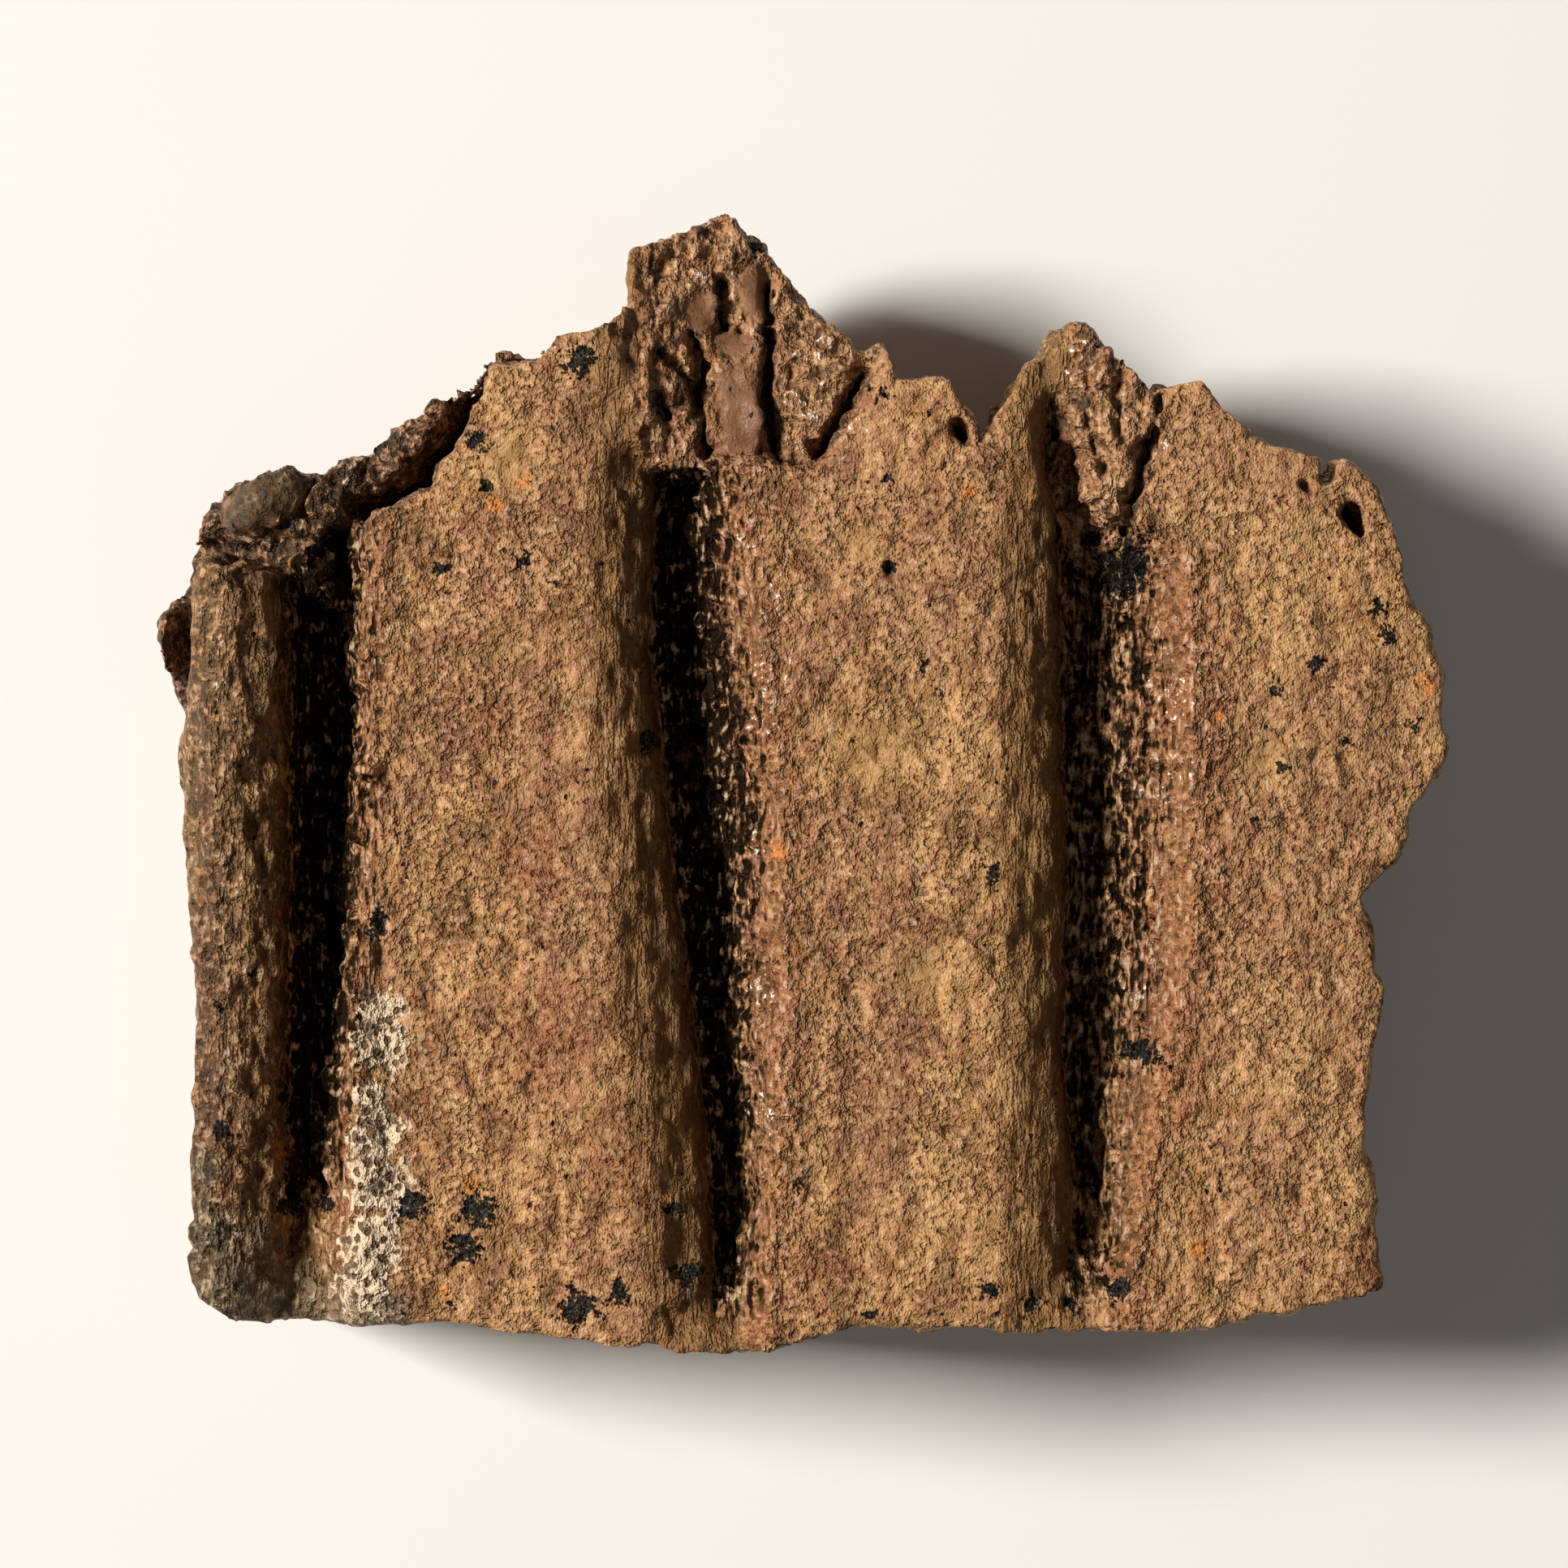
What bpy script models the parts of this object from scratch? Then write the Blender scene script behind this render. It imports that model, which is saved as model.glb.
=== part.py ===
"""A section of a horned dinosaur's jaw bone, one natural piece, lying on its outer side.

The face with the tooth grooves looks up (+Z). The tooth rows ran along X, and each groove runs along Y.
Places on that face are given in millimetres across and down from one corner of a survey frame, and
heights in millimetres above the surface that the bone lies on.
"""

import math

import bmesh
import bpy
import numpy as np
from mathutils import Vector, noise

MM = 0.001
MID_ACROSS = 49.15
MID_DOWN = 48.25
NAME = "jaw_section"

# Driving heights
CREST = 24.0
EDGE_THICKNESS = 8.0
THINNEST = 3.0

# Fineness
SHEET_STEP = 0.6
VOXEL = 0.58
TRIANGLES = 9400

# The broken outline, clockwise from the knob at the left end
OUTLINE = [
    (8.9, 39.5), (9.1, 38.0), (10.0, 36.9), (10.7, 35.8), (10.9, 34.2), (11.4, 32.0), (12.5, 30.8),
    (13.8, 29.9), (15.5, 29.0), (17.2, 28.6), (18.8, 29.1), (20.5, 28.3), (21.8, 28.0), (22.6, 27.4),
    (23.9, 26.1), (25.5, 25.4), (27.2, 24.2), (28.8, 23.2), (29.6, 21.9), (30.4, 21.4), (32.5, 21.2),
    (34.0, 20.8), (36.4, 20.4), (37.4, 19.8), (38.2, 19.4), (38.8, 18.5), (38.7, 17.2), (38.8, 15.5),
    (39.2, 15.0), (40.8, 14.6), (42.2, 14.2), (43.4, 13.5), (44.6, 13.1), (45.8, 14.0), (46.8, 14.8),
    (47.5, 15.8), (47.9, 16.8), (48.8, 17.5), (50.0, 18.9), (51.2, 19.9), (52.2, 20.6), (53.0, 21.6),
    (53.5, 21.6), (54.2, 21.0), (54.6, 21.5), (55.2, 23.2), (56.5, 23.3), (57.5, 23.1), (58.8, 23.3),
    (59.5, 25.0), (60.4, 26.4), (60.1, 27.8), (60.8, 26.8), (61.8, 25.2), (62.8, 23.8), (63.4, 22.4),
    (64.2, 22.0), (65.0, 20.5), (66.2, 19.6), (67.0, 19.8), (67.5, 20.4), (68.2, 21.5), (68.9, 22.2),
    (69.8, 22.8), (70.8, 24.1), (72.5, 23.8), (74.0, 23.4), (74.6, 24.1), (75.2, 25.0), (77.2, 26.8),
    (78.8, 27.5), (80.0, 27.8), (81.6, 28.3), (81.6, 29.5), (82.3, 29.0), (82.8, 28.2), (84.0, 29.0),
    (85.0, 30.0), (86.1, 32.8), (86.6, 34.5), (86.9, 36.0), (87.6, 37.5), (88.4, 38.8), (88.5, 40.0),
    (89.2, 41.5), (89.1, 45.2), (89.5, 46.0), (89.2, 47.2), (88.2, 48.8), (87.2, 49.6), (86.4, 52.5),
    (85.2, 54.0), (84.0, 55.4), (85.0, 57.8), (85.0, 59.8), (85.6, 60.6), (84.8, 65.0), (84.6, 67.0),
    (84.2, 70.1), (84.6, 72.0), (85.2, 73.8), (84.8, 76.0), (85.5, 79.0), (85.2, 79.6), (82.5, 80.0),
    (81.0, 80.8), (79.5, 81.2), (77.8, 81.1), (77.0, 81.6), (70.0, 82.2), (65.0, 81.9), (62.5, 82.2),
    (60.0, 81.6), (55.5, 81.8), (52.5, 81.5), (49.2, 82.8), (47.5, 83.4), (42.5, 83.2), (40.0, 82.8),
    (38.8, 83.2), (34.0, 82.3), (28.8, 81.8), (27.5, 81.5), (21.5, 82.0), (14.2, 81.6), (12.2, 80.0),
    (11.6, 78.0), (11.5, 75.0), (11.8, 65.0), (11.1, 52.5), (10.6, 47.5), (10.6, 44.0), (9.4, 41.5),
]

# Where the grooved front layer breaks off, from the left end to the peak and on to the right
FRONT_EDGE = [
    (10.2, 46.5), (11.0, 42.5), (11.5, 40.0), (11.6, 38.0), (11.5, 36.0), (11.9, 34.4), (12.7, 34.0),
    (13.4, 34.9), (14.7, 34.4), (15.6, 34.9), (16.9, 35.4), (18.0, 33.8), (19.5, 32.6), (21.3, 32.0),
    (22.5, 32.3), (23.0, 31.5), (24.2, 31.2), (25.0, 30.6), (26.6, 30.0), (27.1, 28.5), (28.7, 26.7),
    (29.0, 25.2), (29.6, 24.3), (30.3, 22.2), (33.2, 22.1), (34.3, 20.9), (35.0, 16.0), (37.0, 16.0),
    (37.8, 21.5), (38.8, 25.0), (39.6, 27.4), (40.2, 28.7), (42.4, 28.9), (42.7, 28.3), (48.0, 28.7),
    (50.2, 28.5), (51.6, 27.2), (52.8, 25.0), (53.1, 23.8), (53.8, 22.6), (54.6, 20.5), (57.0, 10.0),
]
PEAK_STARTS = 35.0

# How far the peak's inner layer lies below the crests: (across, fall)
PEAK_FALL = [(35.0, 0.0), (38.0, 0.3), (40.0, 0.8), (42.5, 1.8), (44.0, 2.2), (47.0, 2.4), (50.0, 1.9), (54.0, 1.8)]

# Each groove's lines run down the face: (down, across)
GROOVES = [
    {
        "shoulder": [(32, 12.4), (45, 12.4), (60, 12.4), (82, 12.2)],
        "floor": [(32, 17.6), (45, 18.0), (60, 17.9), (72, 17.6), (82, 17.8)],
        "wall": [(32, 20.6), (45, 20.8), (58, 20.4), (68, 19.2), (82, 19.4)],
        "brow": [(32, 22.8), (42, 22.4), (55, 22.0), (68, 21.4), (76, 21.5), (82, 22.4)],
        "depth": [(32, 6.6), (40, 7.4), (57, 7.4), (66, 4.6), (76, 3.6), (82, 2.2)],
    },
    {
        "shoulder": [(27, 34.6), (40, 34.8), (50, 35.4), (65, 36.5), (74, 37.8), (83, 38.2)],
        "floor": [(30, 41.0), (40, 40.6), (48, 41.7), (55, 42.3), (62, 43.4), (70, 44.3), (78, 44.6), (83, 44.6)],
        "wall": [(30, 41.3), (40, 40.9), (48, 42.0), (55, 42.6), (62, 43.7), (70, 44.6), (78, 44.9), (83, 44.9)],
        "brow": [(30, 45.4), (35, 46.2), (43, 47.5), (50, 48.0), (60, 48.0), (70, 47.6), (78, 46.9), (83, 46.9)],
        "depth": [(22, 0.1), (27, 0.8), (28.6, 2.4), (29.4, 5.6), (40, 6.2), (62, 6.2), (74, 6.6), (78, 4.4),
                  (81, 1.9), (83, 0.7)],
    },
    {
        "shoulder": [(20, 59.2), (35, 60.0), (50, 59.9), (65, 60.3), (74, 60.6), (82, 60.0)],
        "floor": [(20, 65.0), (26, 65.0), (35, 66.0), (45, 66.3), (55, 66.7), (65, 66.3), (74, 67.1), (82, 66.0)],
        "wall": [(20, 65.4), (26, 65.4), (35, 66.4), (45, 66.7), (55, 67.1), (65, 66.7), (74, 67.4), (82, 66.4)],
        "brow": [(20, 67.2), (27, 67.8), (31, 68.4), (34, 72.4), (38, 73.8), (50, 73.8), (60, 73.0), (68, 71.4),
                 (75, 70.2), (82, 69.6)],
        "depth": [(20, 0.3), (24, 0.8), (26, 3.4), (29, 5.6), (40, 6.4), (70, 6.4), (76, 4.6), (79, 2.2), (82, 0.8)],
    },
]
SHOULDER_CURVE = 0.085
LIP_WIDTH = 1.5
WALL_TOP = 2.0

# The height of the crests across the face: (across, height)
CREST_LINE = [(9, 20.6), (13, 22.4), (20, 22.8), (22, 24.0), (45, 24.0), (70, 23.8), (80, 23.2), (90, 21.6)]

# Features that stand on the broken layers: centre, half sizes, turn in degrees and rise
SMOOTH_CHIP = {"at": (15.6, 30.8), "half": (3.3, 1.8), "turn": 27.0, "rise": 2.4}
KNOB = {"at": (9.9, 39.3), "half": (1.7, 2.9), "turn": 12.0, "rise": 2.4}
STRUT = {"at": (18.6, 34.6), "half": (1.4, 3.2), "turn": 32.0, "rise": 4.6}

# The smooth rib down the middle of the peak and the cracks beside it: (down, across)
RIB = [(14.5, 45.8), (20.0, 45.4), (24.0, 45.2), (26.5, 45.8), (29.0, 46.2)]
RIB_HALF_WIDTH = 1.5
RIB_RISE = 1.3
RIB_CRACK = [(15.5, 47.0), (20.0, 47.3), (22.0, 47.2), (25.5, 47.1), (27.2, 47.6), (29.0, 48.0)]
BROW_CRACK = [(24.8, 71.3), (26.4, 71.0), (29.0, 70.5), (32.0, 70.3)]

# A vessel hole that goes right through the thin end, and one beside the notch
HOLES = [((83.3, 32.2), 0.55), ((84.0, 34.2), 0.3), ((59.25, 26.7), 0.5)]


def ease(low, high, value):
    """A smooth step from 0 at low to 1 at high."""
    share = np.clip((value - low) / (high - low), 0.0, 1.0)
    return share * share * (3.0 - 2.0 * share)


def line_at(points, value):
    """Reads a line of (position, value) points at each position."""
    places, values = zip(*points)
    return np.interp(value, places, values)


def outside_by(across, down, polygon):
    """How far each place lies outside a polygon, negative inside it, in millimetres."""
    nearest = np.full(across.shape, 1e9)
    inside = np.zeros(across.shape, bool)
    for (ax, ay), (bx, by) in zip(polygon, polygon[1:] + polygon[:1]):
        run = (bx - ax, by - ay)
        length = max(run[0] ** 2 + run[1] ** 2, 1e-9)
        share = np.clip(((across - ax) * run[0] + (down - ay) * run[1]) / length, 0, 1)
        gap = np.hypot(across - ax - share * run[0], down - ay - share * run[1])
        nearest = np.minimum(nearest, gap)
        if ay != by:
            crosses = (ay > down) != (by > down)
            inside ^= crosses & (across < ax + (down - ay) * run[0] / run[1])
    return np.where(inside, -nearest, nearest)


def bump(across, down, feature):
    """A dome that is 1 at a feature's centre and 0 at its rim."""
    turn = math.radians(feature["turn"])
    along, up = across - feature["at"][0], feature["at"][1] - down
    first = (along * math.cos(turn) + up * math.sin(turn)) / feature["half"][0]
    second = (up * math.cos(turn) - along * math.sin(turn)) / feature["half"][1]
    return np.sqrt(np.clip(1.0 - first**2 - second**2, 0.0, 1.0))


def grain(across, down, size, stretch, seed):
    """Lumpy noise of about -1 to 1, drawn out along the grooves by stretch."""
    return np.array([
        noise.fractal(Vector((a / size, d / (size * stretch), seed)), 1.0, 2.0, 3)
        for a, d in zip(across, down)
    ])


def groove_drop(across, down, groove):
    """How far a groove lies below the crests: a round shoulder, a floor and a steep rough wall."""
    shoulder, floor, wall, brow = (line_at(groove[k], down) for k in ("shoulder", "floor", "wall", "brow"))
    depth = line_at(groove["depth"], down)
    wander = 0.5 * grain(across * 0.0, down, 5.0, 1.0, groove["shoulder"][0][1])
    rolled = np.minimum(SHOULDER_CURVE * np.maximum(across - shoulder, 0.0) ** 2, 0.7 * depth)
    left = rolled + (depth - rolled) * ease(floor - LIP_WIDTH, floor, across)
    climb = np.clip((across - wall - wander) / (brow - wall), 0.0, 1.0)
    right = depth * (1.0 - climb**WALL_TOP) ** 1.2
    return np.minimum(left, right)


def front_height(across, down):
    """The grooved face, rounded at the left end and along the lower edge."""
    height = line_at(CREST_LINE, across)
    for groove in GROOVES:
        height = height - groove_drop(across, down, groove)
    height = height + STRUT["rise"] * bump(across, down, STRUT)
    crack = np.abs(across - line_at(BROW_CRACK, down))
    in_crack = (down > BROW_CRACK[0][0]) & (down < BROW_CRACK[-1][0])
    height = height - 2.4 * np.where(in_crack, 1.0 - ease(0.2, 1.0, crack), 0.0)
    left_round = np.clip((13.4 - across) / 2.9, 0.0, 1.0)
    height = height - 5.5 * (1.0 - np.sqrt(1.0 - np.minimum(left_round, 0.98) ** 2))
    low_round = np.clip((down - 79.0) / 3.4, 0.0, 0.95) * (1.0 - 0.75 * ease(24.0, 34.0, across))
    return height - 3.2 * (1.0 - np.sqrt(1.0 - low_round**2))


def peak_height(across, down):
    """The inner layer that the broken front leaves bare in the peak, with its smooth rib."""
    height = CREST - line_at(PEAK_FALL, across) - 1.8 * ease(26.0, 13.0, down)
    height = height + 0.8 * grain(across, down, 2.6, 1.8, 7.0)
    aside = np.abs(across - line_at(RIB, down)) / RIB_HALF_WIDTH
    height = height + RIB_RISE * np.sqrt(np.clip(1.0 - aside**2, 0.0, 1.0))
    crack = np.abs(across - line_at(RIB_CRACK, down))
    return height - 2.6 * (1.0 - ease(0.2, 1.0, crack))


def inner_height(across, down, beyond):
    """The inner mass behind the front layer at the left, with the deep gap between the two."""
    height = 17.6 - 3.6 * ease(15.0, 9.0, across) + 0.9 * grain(across, down, 2.2, 1.0, 3.0)
    height = height + SMOOTH_CHIP["rise"] * bump(across, down, SMOOTH_CHIP)
    height = height + KNOB["rise"] * bump(across, down, KNOB)
    gap = 1.0 - ease(1.1, 2.1, beyond)
    return height - 6.5 * gap * ease(20.0, 23.0, across) - 3.6 * gap * ease(18.0, 14.0, across)


def top_height(across, down):
    """The whole upper side, with a step wherever one layer breaks off above another."""
    front = FRONT_EDGE + [(99.0, 10.0), (99.0, 99.0), (0.0, 99.0), (0.0, 46.5)]
    beyond = outside_by(across, down, front)
    behind = np.where(
        across > PEAK_STARTS, peak_height(across, down), inner_height(across, down, beyond)
    )
    blend = ease(-0.2, 0.35, beyond)
    return front_height(across, down) * (1.0 - blend) + behind * blend


def under_height(across, down):
    """The underside: a broad swelling that the bone lies on, thinning to every broken edge."""
    inset = -outside_by(across, down, OUTLINE)
    thick = EDGE_THICKNESS + 7.0 * ease(30.0, 12.0, across) + 5.5 * ease(66.0, 80.0, down)
    thick = thick - 2.0 * ease(72.0, 86.0, across)
    reach = 9.0 + 7.0 * ease(50.0, 85.0, across) + 4.0 * ease(35.0, 20.0, down)
    lift = (CREST - thick) * (1.0 - np.sqrt(np.clip(1.0 - (1.0 - np.clip(inset / reach, 0, 1)) ** 2, 0, 1)))
    thin_end = 8.5 * ease(58.0, 86.0, across)
    channel = 1.6 * (1.0 - ease(0.0, 5.0, np.abs(down - 62.0 + 0.12 * across)))
    lumps = 0.9 * grain(across, down, 11.0, 1.0, 21.0)
    return np.maximum(lift, thin_end) + channel + lumps - 0.55


def survey(x, y):
    """Turns the part's x and y, in metres, into millimetres across and down."""
    return x / MM + MID_ACROSS, MID_DOWN - y / MM


def activate(obj):
    bpy.ops.object.select_all(action="DESELECT")
    obj.select_set(True)
    bpy.context.view_layer.objects.active = obj


def apply_modifiers(obj):
    activate(obj)
    bpy.ops.object.convert(target="MESH")
    return bpy.context.object


def vertex_array(mesh):
    points = np.empty(len(mesh.vertices) * 3)
    mesh.vertices.foreach_get("co", points)
    return points.reshape(-1, 3)


def make_block():
    """A flat plate whose two sheets are moved to the upper side and the underside."""
    size_x, size_y = 86.0, 76.0
    bpy.ops.mesh.primitive_grid_add(
        x_subdivisions=round(size_x / SHEET_STEP), y_subdivisions=round(size_y / SHEET_STEP), size=1.0
    )
    block = bpy.context.object
    block.scale = (size_x * MM, size_y * MM, 1.0)
    bpy.ops.object.transform_apply(scale=True)
    shell = block.modifiers.new("thickness", "SOLIDIFY")
    shell.thickness = MM
    shell.offset = 0.0
    block = apply_modifiers(block)
    points = vertex_array(block.data)
    across, down = survey(points[:, 0], points[:, 1])
    upper = points[:, 2] > 0
    top = top_height(across, down)
    under = np.minimum(under_height(across, down), top - THINNEST)
    points[:, 2] = np.where(upper, top, under) * MM
    block.data.vertices.foreach_set("co", points.ravel())
    block.data.update()
    return block


def make_outline_cutter():
    """The broken outline as a tall prism, from a flat curve."""
    curve = bpy.data.curves.new("outline", "CURVE")
    curve.dimensions = "2D"
    curve.fill_mode = "BOTH"
    curve.extrude = 40.0 * MM
    spline = curve.splines.new("POLY")
    spline.points.add(len(OUTLINE) - 1)
    for point, (across, down) in zip(spline.points, OUTLINE):
        point.co = ((across - MID_ACROSS) * MM, (MID_DOWN - down) * MM, 0.0, 1.0)
    spline.use_cyclic_u = True
    guide = bpy.data.objects.new("outline", curve)
    bpy.context.scene.collection.objects.link(guide)
    bpy.context.view_layer.update()
    evaluated = guide.evaluated_get(bpy.context.evaluated_depsgraph_get())
    prism = bpy.data.objects.new("outline_prism", bpy.data.meshes.new_from_object(evaluated))
    bpy.context.scene.collection.objects.link(prism)
    bpy.data.objects.remove(guide)
    loose = bmesh.new()
    loose.from_mesh(prism.data)
    bmesh.ops.remove_doubles(loose, verts=loose.verts, dist=0.00001)
    bmesh.ops.recalc_face_normals(loose, faces=loose.faces)
    loose.to_mesh(prism.data)
    loose.free()
    return prism


def make_hole_cutters():
    cutters = []
    for (across, down), radius in HOLES:
        place = ((across - MID_ACROSS) * MM, (MID_DOWN - down) * MM, 20.0 * MM)
        bpy.ops.mesh.primitive_cylinder_add(
            vertices=9, radius=radius * MM, depth=60.0 * MM, location=place, rotation=(0.14, 0.1, 0.0)
        )
        cutters.append(bpy.context.object)
    return cutters


def cut(obj, cutter, operation):
    """Combines obj with a cutter, which goes, and returns obj."""
    step = obj.modifiers.new(operation.lower(), "BOOLEAN")
    step.operation = operation
    step.object = cutter
    obj = apply_modifiers(obj)
    bpy.data.objects.remove(cutter)
    return obj


def even_mesh(bone):
    remesh = bone.modifiers.new("even_mesh", "REMESH")
    remesh.mode = "VOXEL"
    remesh.voxel_size = VOXEL * MM
    return apply_modifiers(bone)


def roughen(bone):
    """Breaks up the broken edges, the groove walls and the spongy layers with real relief."""
    solid = bmesh.new()
    solid.from_mesh(bone.data)
    solid.normal_update()
    flat = np.array([v.co[:2] for v in solid.verts])
    across, down = survey(flat[:, 0], flat[:, 1])
    front = FRONT_EDGE + [(99.0, 10.0), (99.0, 99.0), (0.0, 99.0), (0.0, 46.5)]
    spongy = ease(-0.6, 0.4, outside_by(across, down, front))
    for vertex, bare in zip(solid.verts, spongy):
        place = vertex.co / MM
        steep = 1.0 - abs(vertex.normal.z)
        drawn = Vector((place.x / 1.9, place.y / 6.0, place.z / 2.6))
        lumps = noise.fractal(place / 3.2, 1.0, 2.0, 3)
        fibres = noise.fractal(drawn, 1.0, 2.0, 2)
        if vertex.normal.z > -0.25:
            amount = 0.2 * lumps + (0.3 + 0.75 * steep) * fibres + 0.6 * bare * lumps
        else:
            amount = 0.45 * lumps + 0.5 * steep * fibres
        vertex.co += vertex.normal * amount * MM
    solid.to_mesh(bone.data)
    solid.free()


def rest_face_cutter():
    """A block below the surface that the bone lies on. It wears one flat place on the swelling."""
    bpy.ops.mesh.primitive_cube_add(size=0.2, location=(0.0, 0.0, -0.1))
    return bpy.context.object


def centre(bone):
    """Puts the origin under the middle of the bone's box."""
    points = vertex_array(bone.data)
    middle = (points.min(0) + points.max(0)) / 2
    points[:, :2] -= middle[:2]
    bone.data.vertices.foreach_set("co", points.ravel())
    bone.data.update()


def bone_material():
    material = bpy.data.materials.new("fossil_bone")
    material.use_nodes = True
    shader = material.node_tree.nodes["Principled BSDF"]
    shader.inputs["Base Color"].default_value = (0.34, 0.18, 0.09, 1.0)
    shader.inputs["Roughness"].default_value = 0.62
    shader.inputs["Metallic"].default_value = 0.0
    return material


def make_bone():
    bone = cut(make_block(), make_outline_cutter(), "INTERSECT")
    for cutter in make_hole_cutters():
        bone = cut(bone, cutter, "DIFFERENCE")
    bone = even_mesh(bone)
    roughen(bone)
    bone = even_mesh(bone)
    fewer = bone.modifiers.new("fewer_faces", "DECIMATE")
    fewer.ratio = TRIANGLES / (2 * len(bone.data.polygons))
    bone = apply_modifiers(bone)
    bone = cut(bone, rest_face_cutter(), "DIFFERENCE")
    centre(bone)
    bone.name = NAME
    bone.data.name = NAME
    bone.data.materials.clear()
    bone.data.materials.append(bone_material())
    bone.data.shade_smooth()
    bone.data.set_sharp_from_angle(angle=math.radians(40))
    return bone


def main():
    for obj in list(bpy.data.objects):
        bpy.data.objects.remove(obj)
    group = bpy.data.collections.new(NAME)
    bpy.context.scene.collection.children.link(group)
    bone = make_bone()
    for holder in list(bone.users_collection):
        holder.objects.unlink(bone)
    group.objects.link(bone)


main()
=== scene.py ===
"""A section of a horned dinosaur's jaw bone, finely worked out and lit from its left.

The grooved face looks up (+Z), and the camera looks straight down on it. Places on that face are given in
millimetres across and down from one corner of a survey frame, and heights in millimetres above the floor.
"""

import math

import bpy
import numpy as np
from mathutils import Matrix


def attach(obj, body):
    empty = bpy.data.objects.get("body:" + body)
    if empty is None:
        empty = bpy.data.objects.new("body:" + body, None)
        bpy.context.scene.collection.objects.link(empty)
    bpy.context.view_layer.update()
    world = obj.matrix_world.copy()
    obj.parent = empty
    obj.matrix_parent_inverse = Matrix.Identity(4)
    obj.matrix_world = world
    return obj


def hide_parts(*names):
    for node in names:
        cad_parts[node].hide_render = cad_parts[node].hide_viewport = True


MM = 0.001

# The middle of the bone on the survey frame
MID_ACROSS = 49.15
MID_DOWN = 48.25
PIECE = "fossil_jaw"

# Driving heights
CREST = 24.0
EDGE_THICKNESS = 8.0
THINNEST = 3.0

# Fineness of the relief map, of the solid grid and of the finished mesh
MAP_STEP = 0.15
GRID_STEP = 0.3
COARSE = 4
TRIANGLES = 190000
LOW_CORNER = (7.6, 11.8, -0.9)
GRID_SIZE = (278, 246, 89)

# The broken outline, clockwise from the knob at the left end
OUTLINE = [
    (8.9, 39.5), (9.1, 38.0), (10.0, 36.9), (10.7, 35.8), (10.9, 34.2), (11.4, 32.0), (12.5, 30.8),
    (13.8, 29.9), (15.5, 29.0), (17.2, 28.6), (18.8, 29.1), (20.5, 28.3), (21.8, 28.0), (22.6, 27.4),
    (23.9, 26.1), (25.5, 25.4), (27.2, 24.2), (28.8, 23.2), (29.6, 21.9), (30.4, 21.4), (32.5, 21.2),
    (34.0, 20.8), (36.4, 20.4), (37.4, 19.8), (38.2, 19.4), (38.8, 18.5), (38.7, 17.2), (38.8, 15.5),
    (39.2, 15.0), (40.8, 14.6), (42.2, 14.2), (43.4, 13.5), (44.6, 13.1), (45.8, 14.0), (46.8, 14.8),
    (47.5, 15.8), (47.9, 16.8), (48.8, 17.5), (50.0, 18.9), (51.2, 19.9), (52.2, 20.6), (53.0, 21.6),
    (53.5, 21.6), (54.2, 21.0), (54.6, 21.5), (55.2, 23.2), (56.5, 23.3), (57.5, 23.1), (58.8, 23.3),
    (59.5, 25.0), (60.4, 26.4), (60.1, 27.8), (60.8, 26.8), (61.8, 25.2), (62.8, 23.8), (63.4, 22.4),
    (64.2, 22.0), (65.0, 20.5), (66.2, 19.6), (67.0, 19.8), (67.5, 20.4), (68.2, 21.5), (68.9, 22.2),
    (69.8, 22.8), (70.8, 24.1), (72.5, 23.8), (74.0, 23.4), (74.6, 24.1), (75.2, 25.0), (77.2, 26.8),
    (78.8, 27.5), (80.0, 27.8), (81.6, 28.3), (81.6, 29.5), (82.3, 29.0), (82.8, 28.2), (84.0, 29.0),
    (85.0, 30.0), (86.1, 32.8), (86.6, 34.5), (86.9, 36.0), (87.6, 37.5), (88.4, 38.8), (88.5, 40.0),
    (89.2, 41.5), (89.1, 45.2), (89.5, 46.0), (89.2, 47.2), (88.2, 48.8), (87.2, 49.6), (86.4, 52.5),
    (85.2, 54.0), (84.0, 55.4), (85.0, 57.8), (85.0, 59.8), (85.6, 60.6), (84.8, 65.0), (84.6, 67.0),
    (84.2, 70.1), (84.6, 72.0), (85.2, 73.8), (84.8, 76.0), (85.5, 79.0), (85.2, 79.6), (82.5, 80.0),
    (81.0, 80.8), (79.5, 81.2), (77.8, 81.1), (77.0, 81.6), (70.0, 82.2), (65.0, 81.9), (62.5, 82.2),
    (60.0, 81.6), (55.5, 81.8), (52.5, 81.5), (49.2, 82.8), (47.5, 83.4), (42.5, 83.2), (40.0, 82.8),
    (38.8, 83.2), (34.0, 82.3), (28.8, 81.8), (27.5, 81.5), (21.5, 82.0), (14.2, 81.6), (12.2, 80.0),
    (11.6, 78.0), (11.5, 75.0), (11.8, 65.0), (11.1, 52.5), (10.6, 47.5), (10.6, 44.0), (9.4, 41.5),
]

# Where the grooved front layer breaks off, from the left end to the peak and on to the right
FRONT_EDGE = [
    (10.2, 46.5), (11.0, 42.5), (11.5, 40.0), (11.6, 38.0), (11.5, 36.0), (11.9, 34.4), (12.7, 34.0),
    (13.4, 34.9), (14.7, 34.4), (15.6, 34.9), (16.9, 35.4), (18.0, 33.8), (19.5, 32.6), (21.3, 32.0),
    (22.5, 32.3), (23.0, 31.5), (24.2, 31.2), (25.0, 30.6), (26.6, 30.0), (27.1, 28.5), (28.7, 26.7),
    (29.0, 25.2), (29.6, 24.3), (30.3, 22.2), (33.2, 22.1), (34.3, 20.9), (35.0, 16.0), (37.0, 16.0),
    (37.8, 21.5), (38.8, 25.0), (39.6, 27.4), (40.2, 28.7), (42.4, 28.9), (42.7, 28.3), (48.0, 28.7),
    (50.2, 28.5), (51.6, 27.2), (52.8, 25.0), (53.1, 23.8), (53.8, 22.6), (54.6, 20.5), (57.0, 10.0),
]
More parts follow.
